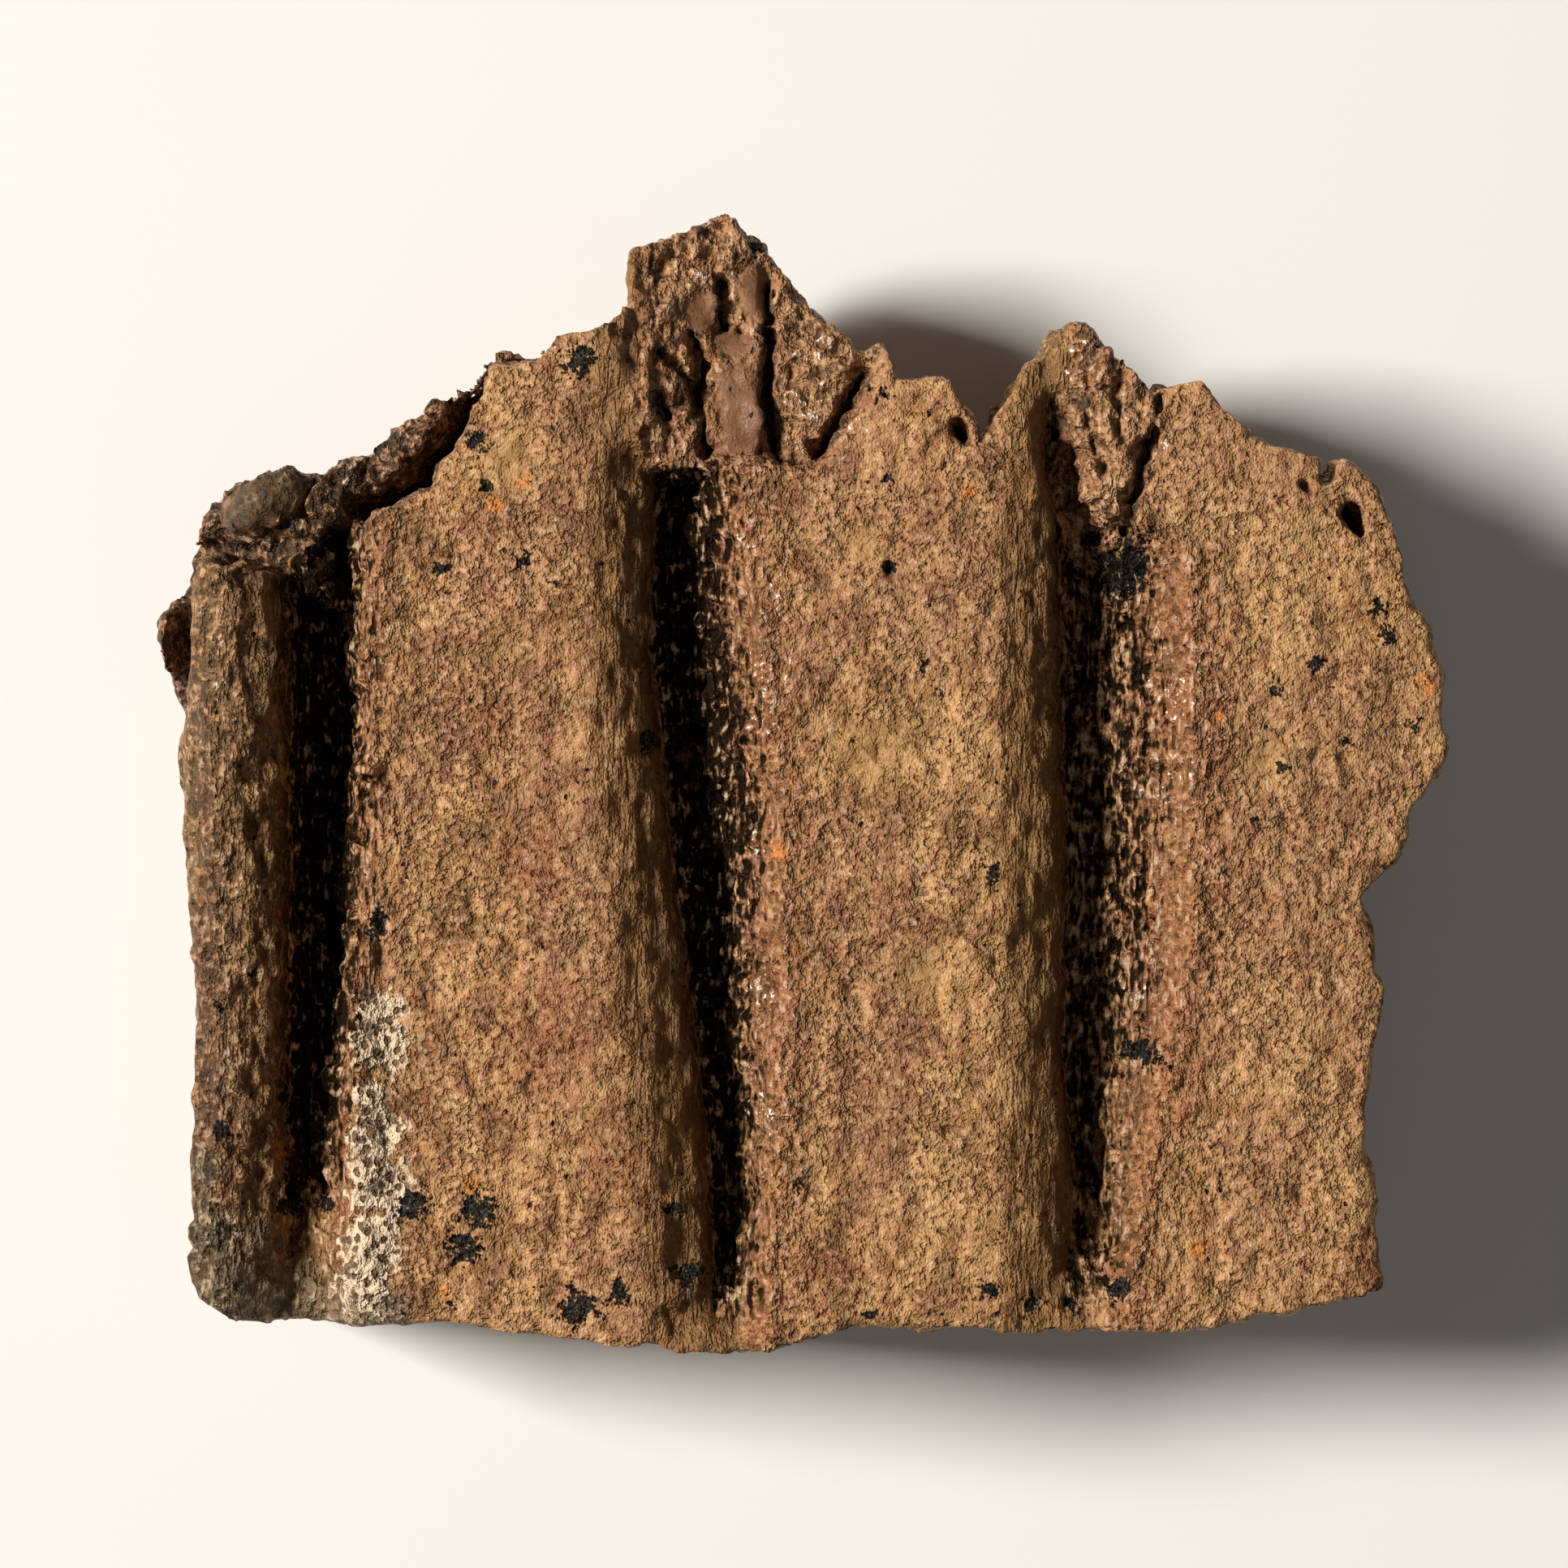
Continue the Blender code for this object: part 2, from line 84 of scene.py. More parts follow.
FRONT = FRONT_EDGE + [(99.0, 10.0), (99.0, 99.0), (0.0, 99.0), (0.0, 46.5)]
PEAK_STARTS = 35.0

# How far the peak's inner layer lies below the crests: (across, fall)
PEAK_FALL = [
    (35.0, 0.0), (38.0, 0.3), (40.0, 0.8), (42.5, 1.8), (44.0, 2.2), (47.0, 2.4), (50.0, 1.9), (54.0, 1.8),
]

# Each groove's lines run down the face: (down, across)
GROOVES = [
    {
        "shoulder": [(32, 13.3), (45, 13.3), (60, 13.3), (82, 12.8)],
        "floor": [(32, 17.6), (45, 18.0), (60, 17.9), (72, 17.6), (82, 17.8)],
        "wall": [(32, 20.6), (45, 20.8), (58, 20.4), (68, 19.2), (82, 19.4)],
        "brow": [(32, 22.8), (42, 22.4), (55, 22.0), (68, 21.4), (76, 21.5), (82, 22.4)],
        "depth": [(32, 6.6), (40, 7.4), (57, 7.4), (66, 5.4), (76, 4.1), (82, 2.2)],
        "curve": 0.15,
    },
    {
        "shoulder": [(27, 34.6), (40, 34.8), (50, 35.4), (65, 36.5), (74, 37.8), (83, 38.2)],
        "floor": [(30, 41.0), (40, 40.6), (48, 41.7), (55, 42.3), (62, 43.4), (70, 44.3), (78, 44.6),
                  (83, 44.6)],
        "wall": [(30, 41.3), (40, 40.9), (48, 42.0), (55, 42.6), (62, 43.7), (70, 44.6), (78, 44.9),
                 (83, 44.9)],
        "brow": [(30, 45.4), (35, 46.2), (43, 47.5), (50, 48.0), (60, 48.0), (70, 47.6), (78, 46.9),
                 (83, 46.9)],
        "depth": [(22, 0.1), (27, 0.8), (28.6, 2.4), (29.4, 5.6), (40, 6.2), (62, 6.2), (74, 6.6),
                  (78, 4.4), (81, 1.9), (83, 0.7)],
        "curve": 0.085,
    },
    {
        "shoulder": [(20, 60.8), (30, 60.8), (35, 60.0), (50, 59.9), (65, 60.3), (74, 60.6), (82, 60.0)],
        "floor": [(20, 65.0), (26, 65.0), (35, 66.0), (45, 66.3), (55, 66.7), (65, 66.3), (74, 67.1),
                  (82, 66.0)],
        "wall": [(20, 65.2), (26, 65.2), (35, 66.0), (45, 66.3), (55, 66.7), (65, 66.3), (74, 67.1),
                 (82, 66.2)],
        "brow": [(20, 66.6), (27, 66.9), (31, 67.6), (34, 72.4), (38, 73.8), (50, 73.8), (60, 73.0),
                 (68, 71.4), (75, 70.2), (82, 69.6)],
        "depth": [(20, 0.3), (24, 0.8), (26, 3.2), (29, 5.2), (40, 5.7), (70, 5.8), (76, 4.4), (79, 2.2),
                  (82, 0.8)],
        "curve": 0.085,
    },
]
# The black painted shade on each groove's wall: its share, and where it gives way to bone without it (down,
# across)
WALL_SHADES = [
    (1.0, [(32, 21.7), (50, 21.9), (60, 21.5), (69, 20.7), (73, 19.6), (78, 12.0)]),
    (0.95, [(30, 44.4), (38, 44.5), (44, 45.6), (50, 46.2), (60, 45.3), (70, 45.7), (82, 45.6)]),
    (0.54, [(24, 66.2), (34, 70.4), (44, 71.2), (52, 71.0), (62, 70.2), (66, 68.6), (82, 67.8)]),
]

# Each shoulder rolls over, drops at its lip and meets a wall that grows steeper downward
ROLLED_SHARE = 0.7
LIP_WIDTH = 1.5
WALL_TOP = 2.0
WALL_FOOT = 1.2

# How far the lips and walls wander sideways, and over what length
LIP_WANDER = (0.3, 2.4)
WALL_WANDER = (0.5, 5.0)

# The front layer's rounded left end and lower edge: start, width and drop
LEFT_ROUND = (13.4, 2.9, 5.5)
LOW_ROUND = (79.0, 3.4, 3.2)

# Lumps of the layers and of the underside: height, width and stretch along the grooves
FRONT_LUMPS = (0.16, 7.0, 1.6)
PEAK_LUMPS = (0.7, 2.6, 1.8)
INNER_LUMPS = (0.9, 2.2, 1.0)
UNDER_LUMPS = (0.9, 11.0, 1.0)

# Changes that come in over a stretch: amount, start and end
PEAK_TIP_FALL = (1.8, 26.0, 13.0)
INNER_END_FALL = (3.6, 15.0, 9.0)
LEFT_THICKER = (7.0, 30.0, 12.0)
LOW_THICKER = (5.5, 66.0, 80.0)
RIGHT_THINNER = (2.0, 72.0, 86.0)
RIGHT_REACH = (7.0, 50.0, 85.0)
UPPER_REACH = (4.0, 35.0, 20.0)
THIN_END = (8.5, 58.0, 86.0)

# The inner mass and the gap between it and the front layer
INNER_HEIGHT = 17.6
GAP_SIDES = (1.1, 2.1)
GAP_DEPTH = 6.5
GAP_STRETCH = (20.0, 23.0)
END_GAP_DEPTH = 3.6
END_GAP_STRETCH = (18.0, 14.0)

# The back: how far its thinning reaches in from the edges, and the channel across it
EDGE_REACH = 9.0
CHANNEL_DEPTH = 1.6
CHANNEL_DOWN = 62.0
CHANNEL_SLOPE = 0.12
CHANNEL_WIDTH = 5.0
RESTING_FACE = 0.55

# Where the surface changes its kind: the start and end of each change
PEAK_FOOT = (40.5, 37.5)
BARK_END = (19.0, 17.5)
BARK_STRIP = ((21.0, 21.8), (24.2, 22.6))
CALM_CORNER = ((77.0, 80.5), (34.0, 26.0))
# Where the painted shade of the inner mass and of the left end comes in
DIM_INNER = (33.0, 27.0)
DIM_END = (0.8, 18.5, 12.0)
CALM_END = (0.6, 12.4, 11.2)
MIDDLE_PALER = (0.05, 46.0, 52.0)
RIGHT_PALER = (0.28, 66.0, 76.0)

# The broken sides' sideways shift, and the height below which no relief stands out
SWAY = 0.25
NEAR_REST = 0.25

# The height of the crests across the face: (across, height)
CREST_LINE = [(9, 20.6), (13, 22.4), (20, 22.8), (22, 24.0), (45, 24.0), (70, 23.8), (80, 23.2), (90, 21.6)]

# Domes: centre, half sizes, turn in degrees and rise
SMOOTH_CHIP = {"at": (15.6, 30.8), "half": (3.3, 1.8), "turn": 27.0, "rise": 2.4}
KNOB = {"at": (9.9, 39.3), "half": (1.7, 2.9), "turn": 12.0, "rise": 2.4}
STRUT = {"at": (18.6, 34.6), "half": (1.4, 3.2), "turn": 32.0, "rise": 4.6}
TONGUE = {"at": (45.4, 25.2), "half": (2.0, 4.4), "turn": -8.0, "rise": 1.1}
UPPER_CHIPS = [
    {"at": (46.3, 17.8), "half": (1.1, 2.2), "turn": 8.0, "rise": 0.5},
    {"at": (43.0, 18.9), "half": (1.2, 1.5), "turn": 20.0, "rise": 0.5},
    {"at": (45.0, 21.0), "half": (1.5, 1.1), "turn": -10.0, "rise": 0.4},
]
CRUMPLED = {"at": (68.5, 26.8), "half": (3.2, 8.6), "turn": -10.0}

# Cracks and pits as lines of places, with half width and depth
PEAK_CRACKS = [
    ([(47.3, 20.2), (47.4, 22.0), (47.1, 24.0), (47.4, 26.0), (48.0, 28.4)], 0.42, 3.4),
    ([(44.3, 17.0), (44.2, 18.6), (44.5, 20.0)], 0.3, 1.8),
    ([(42.6, 20.4), (43.2, 22.4), (42.7, 24.6), (43.5, 27.6)], 0.35, 2.2),
    ([(47.2, 17.2), (47.4, 19.4)], 0.25, 1.4),
    ([(40.6, 24.6), (41.0, 25.4)], 0.5, 2.6),
    ([(40.4, 21.4), (41.8, 22.6), (42.4, 23.6)], 0.25, 1.3),
    ([(53.4, 23.2), (52.3, 24.9), (51.4, 26.6), (50.4, 27.8)], 0.4, 2.4),
]
FRONT_CRACKS = [
    ([(71.4, 24.4), (71.0, 26.4)], 0.14, 1.4),
    ([(71.0, 26.4), (70.2, 29.4), (69.6, 32.4)], 0.34, 2.6),
    ([(59.1, 26.4), (59.4, 27.1)], 0.45, 3.0),
    ([(20.6, 32.2), (20.5, 35.0)], 0.7, 4.5),
    ([(54.7, 34.8), (54.9, 35.3)], 0.2, 0.9),
    ([(81.9, 28.2), (81.8, 29.3)], 0.30, 4.0),
    ([(80.1, 29.7), (80.5, 30.1)], 0.16, 0.9),
    ([(83.35, 31.4), (83.45, 31.9)], 0.48, 9.0),
    ([(83.6, 32.2), (83.8, 32.7)], 0.30, 5.0),
]

# Marks on the surface: how ragged each kind is, and where they are, as across, down and radius
SPOTS = {
    "manganese": (0.28, [
        (35.6, 22.2, 1.0), (29.5, 27.2, 0.9), (25.4, 74.2, 1.1), (29.5, 74.5, 1.1), (28.5, 76.7, 1.2),
        (35.6, 80.5, 1.4), (38.2, 79.5, 0.8), (28.0, 80.2, 0.6), (70.5, 65.0, 1.1), (84.8, 37.5, 0.7),
        (85.7, 39.2, 0.5), (81.2, 41.0, 0.6), (78.7, 42.6, 0.6), (87.5, 44.7, 0.5), (79.1, 47.3, 0.6),
        (83.1, 45.7, 0.4), (57.0, 41.2, 0.4), (58.0, 42.8, 0.4), (61.2, 53.7, 0.7), (23.2, 57.0, 0.9),
        (49.2, 73.0, 0.5), (53.7, 81.0, 0.6), (63.5, 80.5, 0.8), (61.0, 79.5, 0.7), (69.0, 79.5, 0.7),
        (66.0, 80.5, 0.6), (41.5, 74.5, 0.6), (42.5, 78.5, 1.0), (17.2, 74.5, 1.0), (19.7, 74.5, 0.6),
        (13.5, 69.7, 0.6), (32.2, 34.5, 0.6), (30.0, 30.0, 0.4), (34.0, 36.0, 0.4), (54.7, 29.5, 0.4),
        (69.4, 34.8, 2.0), (67.7, 32.9, 0.9), (70.6, 32.8, 0.9), (68.6, 36.0, 0.9), (54.9, 35.0, 0.4),
        (54.3, 24.4, 0.6), (46.5, 14.9, 0.7), (27.2, 35.0, 0.5), (13.2, 62.0, 0.4), (15.5, 60.0, 0.35),
        (40.0, 45.6, 0.6), (77.2, 50.5, 0.4), (56.5, 61.5, 0.3),
    ]),
    "orange": (0.25, [
        (32.2, 29.5, 0.8), (59.8, 30.2, 0.6), (48.0, 52.5, 0.7), (41.9, 46.5, 0.7), (42.5, 48.5, 0.6),
        (29.0, 73.0, 0.6), (27.5, 79.6, 0.7), (17.0, 71.0, 0.8), (17.2, 60.0, 0.5), (41.2, 74.0, 0.5),
        (75.0, 44.0, 0.5), (88.0, 42.0, 0.8), (30.5, 31.0, 0.6), (74.0, 77.0, 0.7),
    ]),
    "cream": (0.18, [
        (23.4, 62.2, 1.3), (23.6, 64.6, 1.5), (23.2, 70.0, 1.5), (23.4, 73.0, 1.7), (22.8, 76.4, 1.7),
        (22.4, 79.2, 1.7), (23.0, 67.4, 1.0),
    ]),
    "yellow": (0.15, [
        (54.0, 46.5, 3.0), (53.2, 33.4, 1.6), (57.0, 60.0, 2.4), (31.6, 28.6, 2.4), (31.0, 40.0, 1.6),
        (78.0, 47.0, 2.0),
    ]),
    "rusty": (0.15, [
        (46.5, 45.0, 2.4), (46.8, 53.0, 2.6), (47.4, 61.0, 2.2), (46.0, 37.0, 1.8), (72.2, 44.0, 2.2),
        (72.0, 49.0, 2.2), (48.6, 43.0, 1.6), (71.6, 38.0, 1.8), (34.0, 64.0, 3.0), (32.0, 53.0, 2.6),
        (38.2, 72.0, 2.2), (70.8, 57.0, 1.6), (50.5, 78.0, 2.4), (84.0, 78.0, 1.6), (30.0, 44.0, 2.2),
    ]),
    # Lighter patches; the three at the left edge of the first ridge, near 12 across, are painted highlights
    "pale_and_highlight": (0.15, [
        (68.4, 25.6, 2.2), (42.4, 16.4, 1.8), (70.8, 42.0, 1.0), (72.2, 45.6, 1.2), (71.6, 52.0, 0.9),
        (47.6, 36.0, 1.0), (58.6, 46.5, 2.4), (46.6, 62.0, 0.8), (70.6, 66.0, 1.1), (60.0, 30.6, 1.6),
        (31.5, 24.5, 1.4), (13.5, 79.0, 2.2), (17.0, 79.5, 2.4), (20.0, 80.5, 2.0), (49.0, 25.0, 1.4),
        (24.5, 39.0, 1.0), (67.0, 24.5, 1.6), (68.0, 28.0, 1.8), (67.5, 31.0, 1.4), (49.8, 22.5, 1.4),
        (50.5, 25.0, 1.2), (11.8, 40.0, 0.9), (11.7, 46.0, 1.0), (12.1, 53.0, 1.0), (44.5, 14.6, 1.2),
    ]),
    "crust": (0.15, [
        (12.4, 72.0, 1.2), (12.8, 76.0, 1.8), (14.0, 79.5, 2.4), (17.6, 79.8, 2.2), (20.6, 80.6, 1.8),
        (23.6, 80.8, 1.6), (16.0, 76.6, 1.2),
    ]),
}
# Painted highlights: the places of the tiny white glints, as across, down and radius
GLINTS = [(47.8, 36.5, 1.7), (47.2, 41.5, 1.5), (46.9, 44.4, 1.2), (72.4, 42.5, 1.9), (72.0, 48.0, 1.6),
          (66.6, 21.4, 0.8), (71.9, 27.4, 0.8), (46.6, 52.0, 1.0), (46.9, 60.6, 1.2), (47.2, 68.2, 1.3),
          (50.0, 21.4, 1.2), (49.6, 24.4, 1.3), (48.4, 27.2, 0.9), (45.4, 15.6, 1.0), (43.2, 16.6, 0.8),
          (52.6, 26.4, 0.8), (66.2, 23.6, 1.0), (69.8, 26.0, 0.9), (22.4, 29.8, 1.0), (20.6, 29.2, 0.8),
          (11.6, 46.0, 0.9), (13.2, 42.0, 0.8), (12.0, 52.0, 0.8), (70.0, 61.0, 1.0), (46.0, 33.0, 1.0)]

# Viewing, in metres but for the place that the camera looks at
VIEW_HEIGHT = 0.40
FRAME_WIDTH = 0.0966
SENSOR_WIDTH = 36.0
NEAREST_VIEW = 0.01
VIEW_CENTRE = 48.30

# Soft lamps: name, place and width in metres, watts and colour
LAMPS = [
    ("key", (-1.20, 0.28, 1.08), 0.40, 46.5, (1.0, 0.97, 0.92)),
    ("fill", (0.30, -0.30, 0.90), 0.8, 0.8, (1.0, 0.98, 0.96)),
]
STUDIO_COLOUR = (0.95, 0.94, 0.92, 1.0)
STUDIO_GLOW = 0.06
FLOOR_COLOUR = (0.74, 0.73, 0.71, 1.0)
FLOOR_ROUGHNESS = 0.9
FLOOR_WIDTH = 3.0


def unit(value):
    """The value, held between 0 and 1."""
    return np.clip(value, 0.0, 1.0)


def ease(low, high, value):
    """A smooth step from 0 at low to 1 at high."""
    share = unit((value - low) / (high - low))
    return share * share * (3.0 - 2.0 * share)


def come_in(change, value):
    """An amount that comes in over a stretch of the value."""
    amount, start, end = change
    return amount * ease(start, end, value)


def lattice(cell, seed):
    """A repeatable random number from 0 to 1 for each whole-number place."""
    x, y, z = (np.asarray(part).astype(np.int64).astype(np.uint32) for part in cell)
    mixed = x * np.uint32(0x8DA6B343) ^ y * np.uint32(0xD8163841) ^ z * np.uint32(0xCB1AB31F)
    mixed = mixed + np.uint32((seed * 0x9E3779B9) & 0xFFFFFFFF)
    mixed ^= mixed >> np.uint32(15)
    mixed = mixed * np.uint32(0x2C1B3C6D)
    mixed ^= mixed >> np.uint32(12)
    mixed = mixed * np.uint32(0x297A2D39)
    mixed ^= mixed >> np.uint32(15)
    return mixed.astype(np.float32) / np.float32(4294967295.0)


def smooth_noise(x, y, z, seed):
    """Smooth noise of about -1 to 1 with lumps one unit apart."""
    corner = [np.floor(part) for part in (x, y, z)]
    part = [a - b for a, b in zip((x, y, z), corner)]
    part = [p * p * p * (p * (p * 6.0 - 15.0) + 10.0) for p in part]
    total = 0.0
    for i in (0, 1):
        for j in (0, 1):
            for k in (0, 1):
                weight = (part[0] if i else 1 - part[0]) * (part[1] if j else 1 - part[1])
                weight = weight * (part[2] if k else 1 - part[2])
                total = total + weight * lattice((corner[0] + i, corner[1] + j, corner[2] + k), seed)
    return 2.0 * total - 1.0


def fractal(x, y, z, octaves, seed):
    """Noise with finer and finer lumps added, of about -1 to 1."""
    total, size, share = 0.0, 1.0, 0.0
    for octave in range(octaves):
        scale = 2.0**octave
        total = total + smooth_noise(x * scale, y * scale, z * scale, seed + 17 * octave) * size
        share += size
        size *= 0.5
    return total / share * 1.5


def cells(x, y, z, seed):
    """The distance to the nearest scattered point, and that point's own random number."""
    base = [np.floor(part) for part in (x, y, z)]
    nearest = np.full(np.shape(x), 9.0)
    owner = np.zeros(np.shape(x))
    for i in (-1, 0, 1):
        for j in (-1, 0, 1):
            for k in (-1, 0, 1):
                cell = (base[0] + i, base[1] + j, base[2] + k)
                offset = [lattice(cell, seed + n) for n in (1, 2, 3)]
                gap = np.sqrt(sum((c + o - p) ** 2 for c, o, p in zip(cell, offset, (x, y, z))))
                closer = gap < nearest
                nearest = np.where(closer, gap, nearest)
                owner = np.where(closer, lattice(cell, seed + 4), owner)
    return nearest, owner


def line_at(points, value):
    """Reads a line of (position, value) points at each position."""
    places, values = zip(*points)
    return np.interp(value, places, values)


def segment_gap(across, down, start, end):
    """The distance from each place to a straight piece of line."""
    run = (end[0] - start[0], end[1] - start[1])
    length = max(run[0] ** 2 + run[1] ** 2, 1e-9)
    share = unit(((across - start[0]) * run[0] + (down - start[1]) * run[1]) / length)
    return np.hypot(across - start[0] - share * run[0], down - start[1] - share * run[1])


def line_gap(across, down, line):
    """The distance from each place to a line of points."""
    nearest = np.full(np.shape(across), 1e9)
    for start, end in zip(line, line[1:]):
        nearest = np.minimum(nearest, segment_gap(across, down, start, end))
    return nearest


def outside_by(across, down, polygon):
    """How far each place lies outside a polygon, negative inside it, in millimetres."""
    inside = np.zeros(np.shape(across), bool)
    for (ax, ay), (bx, by) in zip(polygon, polygon[1:] + polygon[:1]):
        if ay != by:
            crosses = (ay > down) != (by > down)
            inside ^= crosses & (across < ax + (down - ay) * (bx - ax) / (by - ay))
    nearest = line_gap(across, down, polygon + polygon[:1])
    return np.where(inside, -nearest, nearest)


def bump(across, down, feature):
    """A dome that is 1 at a feature's centre and 0 at its rim."""
    turn = math.radians(feature["turn"])
    along, up = across - feature["at"][0], feature["at"][1] - down
    first = (along * math.cos(turn) + up * math.sin(turn)) / feature["half"][0]
    second = (up * math.cos(turn) - along * math.sin(turn)) / feature["half"][1]
    return np.sqrt(unit(1.0 - first**2 - second**2))


def grain(across, down, size, stretch, seed):
    """Lumpy noise of about -1 to 1 over the face, drawn out along the grooves by stretch."""
    return fractal(across / size, down / (size * stretch), np.full(np.shape(across), 0.5), 3, seed)


def lumpy(across, down, lumps, seed):
    """The height that lumps of a given kind add to a layer."""
    rise, width, stretch = lumps
    return rise * grain(across, down, width, stretch, seed)


def cut_cracks(height, across, down, cracks):
    """Sinks each crack or pit into the height, with an uneven width."""
    for line, half_width, depth in cracks:
        uneven = 1.0 + 0.35 * grain(across, down, 0.9, 1.0, 31)
        sides = 1.0 - ease(0.35, 1.0, line_gap(across, down, line) / (half_width * uneven + 0.1))
        height = height - depth * sides
    return height


def groove_sides(across, down, groove):
    """How far a groove's shoulder and wall lie below the crests, and each one's share from 0 to 1."""
    shoulder, floor, wall, brow = (line_at(groove[k], down) for k in ("shoulder", "floor", "wall", "brow"))
    depth = line_at(groove["depth"], down)
    seed = int(groove["shoulder"][0][1])
    wander = lumpy(across * 0.0, down, (*WALL_WANDER, 1.0), seed)
    lip = floor + lumpy(across * 0.0, down, (*LIP_WANDER, 1.0), seed + 1)
    share = unit((across - shoulder) / (floor - shoulder))
    rolled = np.minimum(groove["curve"] * np.maximum(across - shoulder, 0.0) ** 2, ROLLED_SHARE * depth)
    left = rolled + (depth - rolled) * ease(lip - LIP_WIDTH, lip, across)
    climb = unit((across - wall - wander) / (brow - wall))
    right = depth * (1.0 - climb**WALL_TOP) ** WALL_FOOT
    return left, right, share, climb


def front_height(across, down):
    """The grooved face, rounded at the left end and along the lower edge."""
    height = line_at(CREST_LINE, across) + lumpy(across, down, FRONT_LUMPS, 5)
    for groove in GROOVES:
        left, right = groove_sides(across, down, groove)[:2]
        height = height - np.minimum(left, right)
    height = height + STRUT["rise"] * bump(across, down, STRUT)
    height = cut_cracks(height, across, down, FRONT_CRACKS)
    start, width, drop = LEFT_ROUND
    left_round = unit((start - across) / width)
    height = height - drop * (1.0 - np.sqrt(1.0 - np.minimum(left_round, 0.98) ** 2))
    start, width, drop = LOW_ROUND
    low_round = np.clip((down - start) / width, 0.0, 0.95) * (1.0 - 0.75 * ease(24.0, 34.0, across))
    return height - drop * (1.0 - np.sqrt(1.0 - low_round**2))


def peak_height(across, down):
    """The inner layer that the broken front leaves bare in the peak, with its smooth tongue."""
    height = CREST - line_at(PEAK_FALL, across) - come_in(PEAK_TIP_FALL, down)
    height = height + lumpy(across, down, PEAK_LUMPS, 7)
    for dome in [TONGUE, *UPPER_CHIPS]:
        height = height + dome["rise"] * bump(across, down, dome)
    return cut_cracks(height, across, down, PEAK_CRACKS)


def inner_height(across, down, beyond):
    """The inner mass behind the front layer at the left, with the deep gap between the two."""
    on_chip = bump(across, down, SMOOTH_CHIP)
    rise, width, stretch = INNER_LUMPS
    lumps = rise * (1.0 - 0.8 * on_chip) * grain(across, down, width, stretch, 3)
    height = INNER_HEIGHT - come_in(INNER_END_FALL, across) + lumps + SMOOTH_CHIP["rise"] * on_chip
    height = height + KNOB["rise"] * bump(across, down, KNOB)
    gap = 1.0 - ease(*GAP_SIDES, beyond)
    height = height - GAP_DEPTH * gap * ease(*GAP_STRETCH, across)
    return height - END_GAP_DEPTH * gap * ease(*END_GAP_STRETCH, across)


def top_height(across, down):
    """The whole upper side, with a step wherever one layer breaks off above another."""
    beyond = outside_by(across, down, FRONT)
    behind = np.where(
        across > PEAK_STARTS, peak_height(across, down), inner_height(across, down, beyond)
    )
    blend = ease(-0.1, 0.25, beyond)
    return front_height(across, down) * (1.0 - blend) + behind * blend


def under_height(across, down, edge_gap):
    """The underside: a broad swelling that the bone lies on, thinning to every broken edge."""
    thick = EDGE_THICKNESS + come_in(LEFT_THICKER, across) + come_in(LOW_THICKER, down)
    thick = thick - come_in(RIGHT_THINNER, across)
    reach = EDGE_REACH + come_in(RIGHT_REACH, across) + come_in(UPPER_REACH, down)
    inward = unit(-edge_gap / reach)
    lift = (CREST - thick) * (1.0 - np.sqrt(unit(1.0 - (1.0 - inward) ** 2)))
    thin_end = come_in(THIN_END, across)
    off_channel = np.abs(down - CHANNEL_DOWN + CHANNEL_SLOPE * across)
    channel = CHANNEL_DEPTH * (1.0 - ease(0.0, CHANNEL_WIDTH, off_channel))
    lumps = lumpy(across, down, UNDER_LUMPS, 21)
    return np.maximum(np.maximum(lift, thin_end) + channel + lumps - RESTING_FACE, 0.0)


def make_maps():
    """The upper side, the underside and the outline as maps over the face."""
    wide = int(GRID_SIZE[0] * GRID_STEP / MAP_STEP) + 2
    tall = int(GRID_SIZE[1] * GRID_STEP / MAP_STEP) + 2
    columns = LOW_CORNER[0] + MAP_STEP * np.arange(wide)
    rows = LOW_CORNER[1] + MAP_STEP * np.arange(tall)
    across, down = np.meshgrid(columns, rows, indexing="ij")
    edge_gap = outside_by(across, down, OUTLINE)
    top = top_height(across, down)
    floor = under_height(across, down, edge_gap)
    under = np.clip(top - THINNEST, floor - THINNEST / 3, floor)
    return np.maximum(top, under + THINNEST / 2), under, edge_gap


def look_up(sheet, across, down):
    """Reads a map at any places, in the straight way between its points."""
    col = np.clip((across - LOW_CORNER[0]) / MAP_STEP, 0, sheet.shape[0] - 1.001)
    row = np.clip((down - LOW_CORNER[1]) / MAP_STEP, 0, sheet.shape[1] - 1.001)
    i, j = col.astype(np.int32), row.astype(np.int32)
    u, v = (col - i).astype(np.float32), (row - j).astype(np.float32)
    first = sheet[i, j] * (1 - v) + sheet[i, j + 1] * v
    second = sheet[i + 1, j] * (1 - v) + sheet[i + 1, j + 1] * v
    return first * (1 - u) + second * u


def stretched(block, size):
    """Fills a coarse block in to a finer size along every side in turn."""
    for side, count in enumerate(size):
        places = np.arange(count) / COARSE
        low = np.minimum(places.astype(int), block.shape[side] - 2)
        share = (places - low).astype(np.float32)
        shape = [1, 1, 1]
        shape[side] = count
        share = share.reshape(shape)
        block = np.take(block, low, side) * (1 - share) + np.take(block, low + 1, side) * share
    return block.astype(np.float32)


def sway(seed):
    """A slow sideways shift in millimetres through the whole block, so that broken walls overhang."""
    coarse = [np.arange(count // COARSE + 2) * GRID_STEP * COARSE for count in GRID_SIZE]
    x, y, z = np.meshgrid(*coarse, indexing="ij")
    return stretched(SWAY * fractal(x / 2.6, y / 3.6, z / 2.4, 2, seed), GRID_SIZE)


